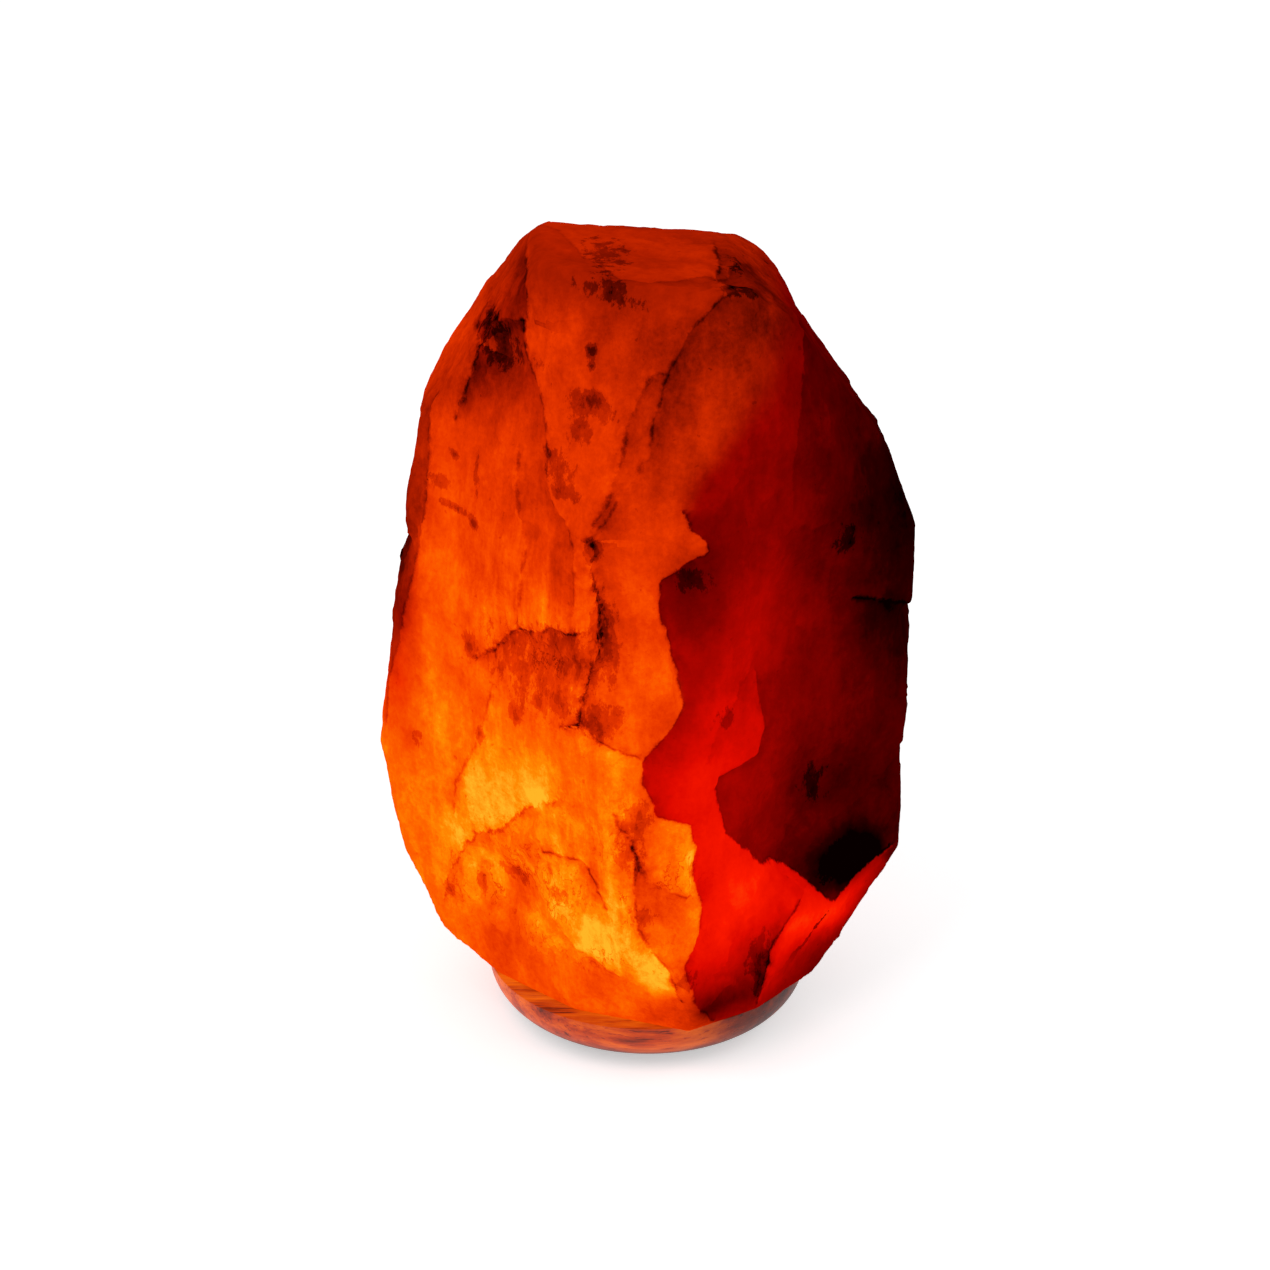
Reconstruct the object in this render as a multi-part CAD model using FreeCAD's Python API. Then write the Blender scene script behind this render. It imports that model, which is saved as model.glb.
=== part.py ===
import FreeCAD, Part
import math
import os

from FreeCAD import Vector

# Salt crystal lamp. A block of rock salt, chipped by hand and sawn flat below, stands on a
# turned wooden base. A small screw-in bulb glows inside it, in a hole bored up from below.
# The bulb's holder sits on a round plate that pushes up into the base and is held there by
# two spring clips. Millimetres, +Z up. The origin is on the table, under the lamp's middle.
# The crystal's front faces -Y and the cord leaves towards +Y.

# ---------------------------------------------------------------- driving dimensions

# Bulb and its cap, of the small 14 mm screw size
CAP_R = 6.95               # over the crests of the cap's thread
CAP_WALL = 0.3
CAP_LENGTH = 17.0
CAP_MOUTH_R = 4.2          # where the cap closes in on the insulator
THREAD_PITCH = 2.82
TURNS_TO_FREE = 5
BULB_LENGTH = 57.0         # tip to crown
BULB_R = 14.0
GLASS_WALL = 0.9
GLASS_IN_CAP = 4.0         # how far the glass neck reaches down inside the cap
NECK_RISE = 13.0           # from the cap's rim to where the glass is widest
TIP_R = 2.2
TIP_HEIGHT = 1.5
INSULATOR_HEIGHT = 3.6
STEM_R = 2.6
STEM_HEIGHT = 17.0
STEM_FLARE_HEIGHT = 4.0
LEAD_R = 0.45
LEAD_SPREAD = 5.0          # each lead's distance from the axis at the filament
FILAMENT_R = 0.35
FILAMENT_ABOVE_STEM = 5.0
SUPPORT_R = 0.3
SUPPORTS = 2

# Lamp holder
THREAD_GAP = 0.1           # running clearance of the cap in the screw shell
SHELL_WALL = 0.35
SHELL_HEIGHT = 21.0
FIT_GAP = 0.1              # clearance of pieces pushed together
HOUSING_WALL = 5.95        # phenolic round the screw shell
SKIRT_WALL = 2.2           # phenolic round the terminals
HOUSING_RIM = 0.6          # housing above the screw shell
RIM_BEVEL = 1.0
TERMINAL_ROOM = 9.5        # from the plate up to the contact block
BLOCK_THICKNESS = 5.0
STRIP = 0.4                # thickness of the contact strips
STRIP_WIDTH = 4.0
CONTACT_X = 5.2            # each contact rivet's distance from the axis
CONTACT_RIVET_R = 0.9
CONTACT_LIFT = 2.8         # how far the centre contact springs up
CONTACT_REACH = 3.2        # where the centre contact ends, past the axis
TIP_GAP = 0.2              # between the centre contact and the bulb's tip
CLAMP_THICKNESS = 0.8
CLAMP_OVERLAP = 1.6        # clamp past the rivet and past the terminal screw
TERMINAL_Y = -5.0
TERMINAL_SCREW_R = 1.25
TERMINAL_HEAD_R = 2.2
TERMINAL_HEAD_HEIGHT = 1.8
TERMINAL_SCREW_DEPTH = 4.0
SLOT_WIDTH = 0.7
SLOT_DEPTH = 0.6

# Cover plate, its screws and its spring clips
PLATE_THICKNESS = 2.5
PLATE_RAISE = 0.5          # plate's underside above the base's underside
PLATE_GAP = 0.5            # round the plate, in its recess
PULL_RIM_WIDTH = 2.5       # raised ring under the plate, for the fingers
PULL_DISH_DEPTH = 0.8
PLATE_SCREW_R = 1.4
PLATE_SCREW_HEAD_R = 2.7
PLATE_SCREW_LENGTH = 9.0
PLATE_SCREW_BEARING = 45.0
BOSS_R = 3.0
BOSS_HEIGHT = 8.5
CLIP_THICKNESS = 0.5
CLIP_WIDTH = 6.0
CLIP_HEIGHT = 21.0
CLIP_FOOT = 4.6            # length of the clip's foot along the plate
CLIP_BELLY_HEIGHT = 7.0    # where the clip bears on the hole's wall
CLIP_LEAN = 2.6            # how far the clip's top leans back in
CLIP_BEARING_GAP = 0.2
RIVET_R = 1.1
RIVET_HEAD_R = 1.7
RIVET_HEAD_HEIGHT = 0.7

# Cord entry: a round two-core lead of about 6 mm
CORD_BORE_R = 3.1
GLAND_WALL = 0.8
GLAND_FLANGE = 0.4         # flange beyond the gland's body
GLAND_FLANGE_THICKNESS = 1.0
GLAND_FLOOR = 0.2          # flange above the plate
CHANNEL_WIDTH = 8.0        # groove through the base for the lead
CHANNEL_ABOVE_CORD = 0.5

# Wooden base, its screws, plugs and feet
BASE_R = 50.5
BASE_THICKNESS = 16.0
RIM_FLAT = 0.6             # upright band at the base's top edge
CLIP_ROOM = 7.0            # from the housing to the wall of the base's hole
FOOT_HEIGHT = 2.0
FOOT_R = 4.0
FOOT_TAPER = 0.6
FOOT_BEARING = 35.0        # either side of the front and of the back
LAND = 0.5                 # wood left beside a foot or a screw head
SCREW_R = 2.0
SCREW_HEAD_R = 3.8
SCREW_HEAD_DEPTH = 2.2
SCREW_LENGTH = 32.0
SCREW_BEARINGS = (30.0, 150.0, 270.0)
PLUG_LENGTH = 20.0
PLUG_R = 3.0
PLUG_WALL = 3.8            # salt left between a plug and the bulb's hole

# Crystal: the bulb's hole, and the chipped facets. A facet is the flat left by a blow: its
# outward direction is a bearing (from +X towards +Y) and a rise above level, in degrees, and
# its reach is its distance from the heart, a point high on the lamp's axis.
HOLE_STEP = 2.5            # bulb's hole is this much wider than the base's hole
HOLE_DEPTH = 90.0          # straight part of the hole
HOLE_POINT = 14.0          # drilled point above it
HEART_HEIGHT = 116.0       # above the sawn sole
ROUGH_BLOCK = 400.0        # the block before it is chipped

FACETS = {
    # name: (bearing, rise, reach)
    # front
    "front": (269, 1, 59.0),
    "left_broad": (226, 0, 56.0),
    "left_upper": (222, 8, 59.5),
    "left_lower": (230, -6, 58.0),
    "right_broad": (310, -1, 56.5),
    "right_lower": (320, -14, 77.5),
    "brow": (246, 16, 73.0),
    "brow_right": (290, 13, 76.0),
    "shoulder_right": (324, 12, 72.0),
    "toe_left": (228, -40, 108.5),
    "toe_middle": (250, -22, 85.0),
    "toe_right": (302, -30, 102.0),
    # crown
    "crown": (42, 84.5, 120.5),
    "crown_back": (80, 66, 115.0),
    "crown_left": (150, 55, 118.5),
    "crown_right": (10, 46, 102.0),
    # left side
    "left_bevel": (184, 31, 92.0),
    "left_shoulder": (176, 11, 79.5),
    "left_edge": (187, 7, 76.0),
    "left_undercut": (190, -9, 87.0),
    "left_heel": (194, -54, 123.0),
    # right side
    "right_bevel": (10, 35, 91.0),
    "right_slope": (6, 21, 86.0),
    "right_edge": (355, -1, 79.5),
    "right_undercut": (338, -27, 101.0),
    # back
    "back": (94, 4, 55.0),
    "back_left": (140, 3, 65.0),
    "back_right": (46, 2, 64.0),
    "back_high": (98, 36, 96.0),
    "back_left_high": (148, 34, 98.0),
    "back_right_high": (42, 34, 99.0),
    "back_low": (100, -24, 79.0),
    "back_left_low": (150, -30, 98.0),
    "back_right_low": (40, -28, 93.0),
}

# A scoop is the shell-shaped hollow of a struck flake: on a facet, at a place across and up
# from the foot of the heart's perpendicular, with the hollow's radius and depth.
SCOOPS = (
    # facet, across, up, radius, depth
    ("right_broad", 18.0, -54.0, 75.0, 6.0),
    ("right_broad", 12.0, 14.0, 120.0, 3.5),
    ("front", 28.0, 29.0, 95.0, 3.0),
    ("front", 7.0, -48.0, 45.0, 2.2),
    ("left_upper", -10.0, 88.0, 22.0, 2.4),
    ("left_lower", -17.0, -70.0, 60.0, 3.0),
    ("brow", 4.0, 70.0, 15.0, 2.2),
    ("crown", -38.0, 12.0, 13.0, 3.0),
    ("back", 8.0, 22.0, 90.0, 5.0),
    ("back", -14.0, -48.0, 60.0, 4.6),
    ("back_left", -6.0, -20.0, 75.0, 4.4),
    ("back_left", 12.0, 52.0, 42.0, 3.4),
    ("back_right", 10.0, 30.0, 70.0, 4.6),
    ("back_right", -4.0, -56.0, 48.0, 4.2),
)

# A ledge is the step where a slab has split away: a wall along a line, and a floor that
# fans up from the wall's foot to a point on the facet. The turn is the wall's, from upright.
LEDGES = (
    # facet, across, up, length, width, depth, turn
    # front: the deep split, the long break on its right, and the break's foot
    ("front", -14.0, 23.0, 62.0, 26.0, 3.2, -2.0),
    ("front", 6.0, 16.0, 66.0, 42.0, 3.6, -7.0),
    ("front", 13.0, -58.0, 44.0, 24.0, 3.2, 3.0),
    # above them: the ridge's edge and the long flake left of it
    ("brow", 20.0, 65.0, 66.0, 20.0, 2.8, 20.0),
    ("brow", -8.0, 50.0, 70.0, 20.0, 2.0, -6.0),
    # left: the ragged shelf and the low slanting step
    ("left_broad", 10.0, 14.0, 44.0, 24.0, 2.6, 92.0),
    ("left_lower", -10.0, -54.0, 52.0, 26.0, 2.4, 225.0),
    ("left_edge", -6.0, 20.0, 40.0, 24.0, 2.6, 84.0),
    # right: the lip round the low hollow, and a shelf on the side
    ("right_broad", -21.0, -28.0, 44.0, 22.0, 3.2, 10.0),
    ("right_broad", 9.0, -69.0, 46.0, 50.0, 6.4, -42.0),
    ("right_edge", 2.0, 8.0, 44.0, 26.0, 3.0, 100.0),
    # back
    ("back", 20.0, -12.0, 76.0, 32.0, 4.0, 12.0),
    ("back_left", -18.0, 30.0, 60.0, 28.0, 3.6, -160.0),
)
LEDGE_RUN = 0.25           # share of a wall's length, at each end, over which it deepens
LEDGE_HEADROOM = 12.0      # cut away outside the facet, clear of the stone

# ---------------------------------------------------------------- worked-out sizes

SHELL_BORE_R = CAP_R + THREAD_GAP
SHELL_R = SHELL_BORE_R + SHELL_WALL
HOUSING_BORE_R = SHELL_R + FIT_GAP
HOUSING_R = HOUSING_BORE_R + HOUSING_WALL
CHAMBER_R = HOUSING_R - SKIRT_WALL
BASE_HOLE_R = HOUSING_R + CLIP_ROOM
CAVITY_R = BASE_HOLE_R + HOLE_STEP
FIXING_CIRCLE_R = CAVITY_R + PLUG_WALL + PLUG_R
FIXING_REACH = max(FOOT_R, SCREW_HEAD_R) + LAND
RECESS_R = FIXING_CIRCLE_R - FIXING_REACH
PLATE_R = RECESS_R - PLATE_GAP
BASE_FLAT_R = FIXING_CIRCLE_R + FIXING_REACH

SOLE_Z = FOOT_HEIGHT + BASE_THICKNESS
PLATE_Z = FOOT_HEIGHT + PLATE_RAISE
PLATE_TOP = PLATE_Z + PLATE_THICKNESS
BLOCK_Z = PLATE_TOP + TERMINAL_ROOM
BLOCK_TOP = BLOCK_Z + BLOCK_THICKNESS
SHELL_Z = BLOCK_TOP + STRIP
SHELL_TOP = SHELL_Z + SHELL_HEIGHT
HOUSING_TOP = SHELL_TOP + HOUSING_RIM
TIP_Z = BLOCK_TOP + CONTACT_LIFT + TIP_GAP
INSULATOR_Z = TIP_Z + TIP_HEIGHT
CAP_Z = INSULATOR_Z + INSULATOR_HEIGHT
CAP_TOP = CAP_Z + CAP_LENGTH
CROWN_Z = TIP_Z + BULB_LENGTH
NECK_R = CAP_R - CAP_WALL - FIT_GAP
GLASS_FOOT = CAP_TOP - GLASS_IN_CAP
WIDEST_Z = CAP_TOP + NECK_RISE
STEM_TOP = GLASS_FOOT + STEM_HEIGHT
FILAMENT_Z = STEM_TOP + FILAMENT_ABOVE_STEM
GLAND_R = CORD_BORE_R + GLAND_WALL
GLAND_FLANGE_R = GLAND_R + GLAND_FLANGE
GLAND_Z = PLATE_TOP + GLAND_FLOOR + GLAND_FLANGE_R
CHANNEL_TOP = GLAND_Z + CORD_BORE_R + CHANNEL_ABOVE_CORD
BOSS_X = HOUSING_R + BOSS_R - SKIRT_WALL
HEART = Vector(0, 0, SOLE_Z + HEART_HEIGHT)
BULB_RISE = THREAD_PITCH * TURNS_TO_FREE
UP = Vector(0, 0, 1)

# ---------------------------------------------------------------- shape helpers


def cylinder(radius, bottom, height):
    """Upright cylinder on the lamp's axis."""
    return Part.makeCylinder(radius, height, Vector(0, 0, bottom))


def tube(bore, radius, bottom, height):
    """Upright tube on the lamp's axis."""
    return cylinder(radius, bottom, height).cut(cylinder(bore, bottom, height))


def spun(edges):
    """Solid of revolution about the lamp's axis from a closed profile in the XZ plane."""
    face = Part.Face(Part.Wire(edges))
    return face.revolve(Vector(0, 0, 0), UP, 360)


def lines(*corners):
    """Straight edges through (radius, height) corners."""
    points = [Vector(radius, 0, height) for radius, height in corners]
    return [Part.LineSegment(a, b).toShape() for a, b in zip(points, points[1:])]


def bow(start, middle, end):
    """Arc through three (radius, height) points."""
    points = [Vector(radius, 0, height) for radius, height in (start, middle, end)]
    return Part.Arc(*points).toShape()


def swell(start, end):
    """Two arcs in an S, upright at both ends, from one (radius, height) to a wider one."""
    across, rise = end[0] - start[0], end[1] - start[1]
    radius = (across ** 2 + rise ** 2) / (4.0 * across)
    half = math.atan2(across, rise)
    step = radius * (1 - math.cos(half))
    climb = radius * math.sin(half)
    middle = (start[0] + across / 2.0, start[1] + rise / 2.0)
    return [bow(start, (start[0] + step, start[1] + climb), middle),
            bow(middle, (end[0] - step, end[1] - climb), end)]


def quarter(centre, across, up):
    """Quarter of an ellipse about (radius, height): outwards by across, and up or down by up."""
    middle = Vector(centre[0], 0, centre[1])
    level = Vector(across, 0, 0)
    upright = Vector(0, 0, up)
    long, short = (level, upright) if abs(across) >= abs(up) else (upright, level)
    ellipse = Part.Ellipse(middle + long, middle + short, middle)
    return Part.ArcOfEllipse(ellipse, 0, math.pi / 2).toShape()


def dome(radius, foot, rise):
    """Arc of a ball-shaped cap, from its crown on the axis to its rim at (radius, foot)."""
    ball = (radius ** 2 + rise ** 2) / (2.0 * abs(rise))
    half = math.atan2(radius, ball - abs(rise)) / 2.0
    drop = math.copysign(ball * (1 - math.cos(half)), rise)
    crown = foot + rise
    return bow((0, crown), (ball * math.sin(half), crown - drop), (radius, foot))


def turned(shape, bearing):
    """Copy of a shape, turned about the lamp's axis."""
    copy = shape.copy()
    copy.rotate(Vector(0, 0, 0), UP, bearing)
    return copy


def group(shapes):
    """Separate solids kept together in one node."""
    return Part.makeCompound([solid for shape in shapes for solid in shape.Solids])


def rod(points, radius):
    """Round wire with straight runs and ball corners."""
    pieces = []
    for start, end in zip(points, points[1:]):
        run = end - start
        pieces.append(Part.makeCylinder(radius, run.Length, start, run))
    for corner in points[1:-1]:
        pieces.append(Part.makeSphere(radius, corner))
    wire = pieces[0]
    return wire.fuse(pieces[1:]) if len(pieces) > 1 else wire


def strip(points, thickness, width):
    """Bent metal strip: a line of (x, z) points thickened upwards, width across Y."""
    normals = []
    for (x0, z0), (x1, z1) in zip(points, points[1:]):
        run = math.hypot(x1 - x0, z1 - z0)
        normals.append(((z0 - z1) / run, (x1 - x0) / run))
    upper = []
    for index, (x, z) in enumerate(points):
        before = normals[max(index - 1, 0)]
        after = normals[min(index, len(normals) - 1)]
        nx, nz = before[0] + after[0], before[1] + after[1]
        size = (nx * nx + nz * nz) / 2.0
        upper.append((x + thickness * nx / size, z + thickness * nz / size))
    outline = points + upper[::-1] + points[:1]
    corners = [Vector(x, -width / 2.0, z) for x, z in outline]
    return Part.Face(Part.makePolygon(corners)).extrude(Vector(0, width, 0))


# ---------------------------------------------------------------- crystal


def direction(bearing, rise):
    """Unit vector at a bearing and a rise above level, in degrees."""
    turn, tilt = math.radians(bearing), math.radians(rise)
    level = math.cos(tilt)
    return Vector(math.cos(turn) * level, math.sin(turn) * level, math.sin(tilt))


def facet_frame(name, across, up):
    """Point on a facet, with the facet's outward, across and up directions."""
    bearing, rise, reach = FACETS[name]
    out = direction(bearing, rise)
    side = direction(bearing + 90, 0)
    top = out.cross(side)
    return HEART + out * reach + side * across + top * up, out, side, top


def chipped_block():
    """Convex stone: a rough block with everything beyond each facet struck off."""
    half = ROUGH_BLOCK / 2.0
    corner = Vector(-half, -half, SOLE_Z)
    block = Part.makeBox(ROUGH_BLOCK, ROUGH_BLOCK, ROUGH_BLOCK, corner)
    for name in FACETS:
        point, out = facet_frame(name, 0, 0)[:2]
        waste = Part.makeBox(ROUGH_BLOCK * 2, ROUGH_BLOCK * 2, ROUGH_BLOCK)
        waste.translate(Vector(-ROUGH_BLOCK, -ROUGH_BLOCK, 0))
        waste.Placement = FreeCAD.Placement(
            point, FreeCAD.Rotation(UP, out)).multiply(waste.Placement)
        block = block.cut(waste)
    return block


def scoop(facet, across, up, radius, depth):
    """Ball that hollows a facet to a depth."""
    point, out = facet_frame(facet, across, up)[:2]
    return Part.makeSphere(radius, point + out * (radius - depth))


def ledge(facet, across, up, length, width, depth, turn):
    """Chip with a wall along a line on a facet, and a floor that fans up from it to a point."""
    point, out, side, top = facet_frame(facet, across, up)
    angle = math.radians(turn)
    along = (top * math.cos(angle) + side * math.sin(angle)) * length
    away = (side * math.cos(angle) - top * math.sin(angle)) * width
    start = point - along / 2.0
    end = point + along / 2.0
    far = point + away
    lift = out * LEDGE_HEADROOM
    foot = [start, start + along * LEDGE_RUN - out * depth, end - along * LEDGE_RUN - out * depth,
            end]
    rings = [foot + [end + lift, start + lift]]
    rings += [[first, far, second] for first, second in zip(foot, foot[1:])]
    rings += [[end, far, far + lift, end + lift], [far, start, start + lift, far + lift]]
    rings += [[start + lift, end + lift, far + lift]]
    faces = [Part.Face(Part.makePolygon(ring + ring[:1])) for ring in rings]
    return Part.makeSolid(Part.makeShell(faces))


def fixing_places(bearings):
    """Points on the circle of the base's screws and feet, level with the table."""
    return [direction(bearing, 0) * FIXING_CIRCLE_R for bearing in bearings]


def salt_crystal():
    """The chipped stone with the bulb's hole and the holes for the plugs."""
    stone = chipped_block()
    for cut in SCOOPS:
        stone = stone.cut(scoop(*cut))
    for cut in LEDGES:
        stone = stone.cut(ledge(*cut))
    top = SOLE_Z + HOLE_DEPTH
    hole = spun(lines((0, SOLE_Z), (CAVITY_R, SOLE_Z), (CAVITY_R, top),
                      (0, top + HOLE_POINT), (0, SOLE_Z)))
    stone = stone.cut(hole)
    for place in fixing_places(SCREW_BEARINGS):
        stone = stone.cut(Part.makeCylinder(PLUG_R, PLUG_LENGTH, place + UP * SOLE_Z))
    return stone


# ---------------------------------------------------------------- base and fixings


def wood_base():
    """Turned dish: flat below, round sides, a stepped hole and a groove for the lead."""
    round_top = SOLE_Z - RIM_FLAT
    bulge = BASE_R - BASE_FLAT_R
    rise = round_top - FOOT_HEIGHT
    profile = [quarter((BASE_FLAT_R, round_top), bulge, -rise)]
    profile += lines((BASE_R, round_top), (BASE_R, SOLE_Z), (0, SOLE_Z), (0, FOOT_HEIGHT),
                     (BASE_FLAT_R, FOOT_HEIGHT))
    dish = spun(profile)
    dish = dish.cut(cylinder(BASE_HOLE_R, FOOT_HEIGHT, BASE_THICKNESS))
    dish = dish.cut(cylinder(RECESS_R, FOOT_HEIGHT, PLATE_TOP - FOOT_HEIGHT))
    groove = Part.makeBox(CHANNEL_WIDTH, BASE_R * 2, CHANNEL_TOP,
                          Vector(-CHANNEL_WIDTH / 2.0, 0, 0))
    dish = dish.cut(groove)
    for place in fixing_places(SCREW_BEARINGS):
        dish = dish.cut(Part.makeCylinder(SCREW_R, BASE_THICKNESS, place + UP * FOOT_HEIGHT))
        dish = dish.cut(Part.makeCone(SCREW_HEAD_R, SCREW_R, SCREW_HEAD_DEPTH,
                                      place + UP * FOOT_HEIGHT))
    return dish


def base_screws():
    """Countersunk wood screws with a cross recess, up through the base into the plugs."""
    screws = []
    for place in fixing_places(SCREW_BEARINGS):
        foot = place + UP * FOOT_HEIGHT
        screw = Part.makeCone(SCREW_HEAD_R, SCREW_R, SCREW_HEAD_DEPTH, foot)
        shank = Part.makeCylinder(SCREW_R, SCREW_LENGTH - SCREW_R, foot)
        point = Part.makeCone(SCREW_R, SCREW_R / 5.0, SCREW_R,
                              foot + UP * (SCREW_LENGTH - SCREW_R))
        screw = screw.fuse([shank, point])
        for turn in (0, 90):
            slot = Part.makeBox(SCREW_HEAD_R, SLOT_WIDTH, SLOT_DEPTH * 2,
                                Vector(-SCREW_HEAD_R / 2.0, -SLOT_WIDTH / 2.0, -SLOT_DEPTH))
            slot.rotate(Vector(0, 0, 0), UP, turn)
            slot.translate(foot)
            screw = screw.cut(slot)
        screws.append(screw)
    return group(screws)


def wall_plugs():
    """Plastic plugs in the salt, spread by the screws, with a blind end."""
    plugs = []
    grip = SCREW_LENGTH - BASE_THICKNESS
    for place in fixing_places(SCREW_BEARINGS):
        mouth = place + UP * SOLE_Z
        plug = Part.makeCylinder(PLUG_R, PLUG_LENGTH, mouth)
        plugs.append(plug.cut(Part.makeCylinder(SCREW_R, grip, mouth)))
    return group(plugs)


def rubber_feet():
    """Four low tapered feet under the base."""
    bearings = [middle + side * FOOT_BEARING for middle in (90, 270) for side in (-1, 1)]
    feet = []
    for place in fixing_places(bearings):
        feet.append(Part.makeCone(FOOT_R - FOOT_TAPER, FOOT_R, FOOT_HEIGHT, place))
    return group(feet)


# ---------------------------------------------------------------- plate and holder


def plate_screw_places():
    """Axes of the two screws that join the housing to the plate."""
    return [direction(PLATE_SCREW_BEARING + turn, 0) * BOSS_X for turn in (0, 180)]


def clip_foot_inner():
    """Where a clip's foot starts, from the lamp's axis."""
    return clip_belly() - CLIP_THICKNESS - CLIP_FOOT


def clip_belly():
    """How far out a clip's outer face reaches, just inside the hole's round wall."""
    flat = math.sqrt(BASE_HOLE_R ** 2 - (CLIP_WIDTH / 2.0) ** 2)
    return flat - CLIP_BEARING_GAP


def rivet_x():
    """Each clip rivet's distance from the lamp's axis, in the middle of the foot."""
    return clip_foot_inner() + CLIP_FOOT / 2.0


def cover_plate():
    """Round moulded plate with a dished underside, a pull rim and its fixing holes."""
    plate = cylinder(PLATE_R, PLATE_Z, PLATE_THICKNESS)
    dish_r = BASE_HOLE_R - PULL_RIM_WIDTH
    ring = cylinder(PLATE_R - PULL_RIM_WIDTH, PLATE_Z, PULL_DISH_DEPTH)
    plate = plate.cut(ring.cut(cylinder(dish_r, PLATE_Z, PULL_DISH_DEPTH)))
    for place in plate_screw_places():
        foot = place + UP * PLATE_Z
        plate = plate.cut(Part.makeCylinder(PLATE_SCREW_R, PLATE_THICKNESS, foot))
        plate = plate.cut(Part.makeCone(PLATE_SCREW_HEAD_R, PLATE_SCREW_R,
                                        PLATE_SCREW_HEAD_R - PLATE_SCREW_R, foot))
    for side in (-1, 1):
        foot = Vector(side * rivet_x(), 0, PLATE_Z)
        plate = plate.cut(Part.makeCylinder(RIVET_R, PLATE_THICKNESS, foot))
        plate = plate.cut(Part.makeCylinder(RIVET_HEAD_R, PULL_DISH_DEPTH, foot))
    return plate


def plate_screws():
    """Two countersunk slotted screws, from below into the housing's bosses."""
    screws = []
    for place in plate_screw_places():
        foot = place + UP * PLATE_Z
        head = Part.makeCone(PLATE_SCREW_HEAD_R, PLATE_SCREW_R,
                             PLATE_SCREW_HEAD_R - PLATE_SCREW_R, foot)
        screw = head.fuse(Part.makeCylinder(PLATE_SCREW_R, PLATE_SCREW_LENGTH, foot))
        slot = Part.makeBox(PLATE_SCREW_HEAD_R * 2, SLOT_WIDTH, SLOT_DEPTH,
                            foot - Vector(PLATE_SCREW_HEAD_R, SLOT_WIDTH / 2.0, 0))
        screws.append(screw.cut(slot))
    return group(screws)


def socket_housing():
    """Moulded body: screw-shell bore above, terminal room below, two screw bosses."""
    height = HOUSING_TOP - PLATE_TOP
    body = cylinder(HOUSING_R, PLATE_TOP, height)
    bosses = []
    for place in plate_screw_places():
        bosses.append(Part.makeCylinder(BOSS_R, BOSS_HEIGHT, place + UP * PLATE_TOP))
    body = body.fuse(bosses)
    body = body.cut(cylinder(HOUSING_BORE_R, PLATE_TOP, height))
    body = body.cut(cylinder(CHAMBER_R, PLATE_TOP, BLOCK_TOP - PLATE_TOP))
    bevel = spun(lines((HOUSING_R - RIM_BEVEL, HOUSING_TOP), (HOUSING_R, HOUSING_TOP),
                       (HOUSING_R, HOUSING_TOP - RIM_BEVEL),
                       (HOUSING_R - RIM_BEVEL, HOUSING_TOP)))
    body = body.cut(bevel)
    for place in plate_screw_places():
        depth = PLATE_SCREW_LENGTH - PLATE_THICKNESS
        body = body.cut(Part.makeCylinder(PLATE_SCREW_R, depth, place + UP * PLATE_TOP))
    hole = Part.makeCylinder(GLAND_R, HOUSING_R, Vector(0, 0, GLAND_Z), Vector(0, 1, 0))
    return body.cut(hole)


def contact_block():
    """Ceramic disc between the terminals and the screw shell."""
    block = cylinder(CHAMBER_R - FIT_GAP, BLOCK_Z, BLOCK_THICKNESS)
    for side in (-1, 1):
        x = side * CONTACT_X
        block = block.cut(Part.makeCylinder(CONTACT_RIVET_R, BLOCK_THICKNESS,
                                            Vector(x, 0, BLOCK_Z)))
        block = block.cut(Part.makeCylinder(TERMINAL_SCREW_R, TERMINAL_SCREW_DEPTH,
                                            Vector(x, TERMINAL_Y, BLOCK_Z)))
    return block


def contact_rivet(side):
    """Brass pin that carries a contact's current down through the block."""
    return Part.makeCylinder(CONTACT_RIVET_R, BLOCK_THICKNESS,
                             Vector(side * CONTACT_X, 0, BLOCK_Z))


def centre_contact():
    """Spring strip that rises from its rivet to the bulb's tip."""
    start = -CONTACT_X - CONTACT_RIVET_R
    crest = BLOCK_TOP + CONTACT_LIFT - STRIP
    points = [(start, BLOCK_TOP), (-CONTACT_REACH, BLOCK_TOP), (-TIP_R / 2.0, crest),
              (TIP_R / 2.0, crest), (CONTACT_REACH, crest - TIP_R / 2.0)]
    return strip(points, STRIP, STRIP_WIDTH).fuse(contact_rivet(-1)).removeSplitter()


def side_contact():
    """Flat strip under the screw shell's edge, with its rivet."""
    inner = CONTACT_X - CONTACT_RIVET_R
    flat = Part.makeBox(SHELL_R - inner, STRIP_WIDTH, STRIP,
                        Vector(inner, -STRIP_WIDTH / 2.0, BLOCK_TOP))
    flat = flat.common(cylinder(SHELL_R, BLOCK_TOP, STRIP))
    return flat.fuse(contact_rivet(1)).removeSplitter()


def thread_shell():
    """Brass screw shell, drawn plain: its thread is as deep as its wall."""
    return tube(SHELL_BORE_R, SHELL_R, SHELL_Z, SHELL_HEIGHT)


def terminal_clamps():
    """Two brass bars, each from a contact's rivet to its terminal screw."""
    length = abs(TERMINAL_Y) + CLAMP_OVERLAP * 2
    clamps = []
    for side in (-1, 1):
        corner = Vector(side * CONTACT_X - STRIP_WIDTH / 2.0, TERMINAL_Y - CLAMP_OVERLAP,
                        BLOCK_Z - CLAMP_THICKNESS)
        bar = Part.makeBox(STRIP_WIDTH, length, CLAMP_THICKNESS, corner)
        hole = Part.makeCylinder(TERMINAL_SCREW_R, CLAMP_THICKNESS,
                                 Vector(side * CONTACT_X, TERMINAL_Y, corner.z))
        clamps.append(bar.cut(hole))
    return group(clamps)


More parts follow.
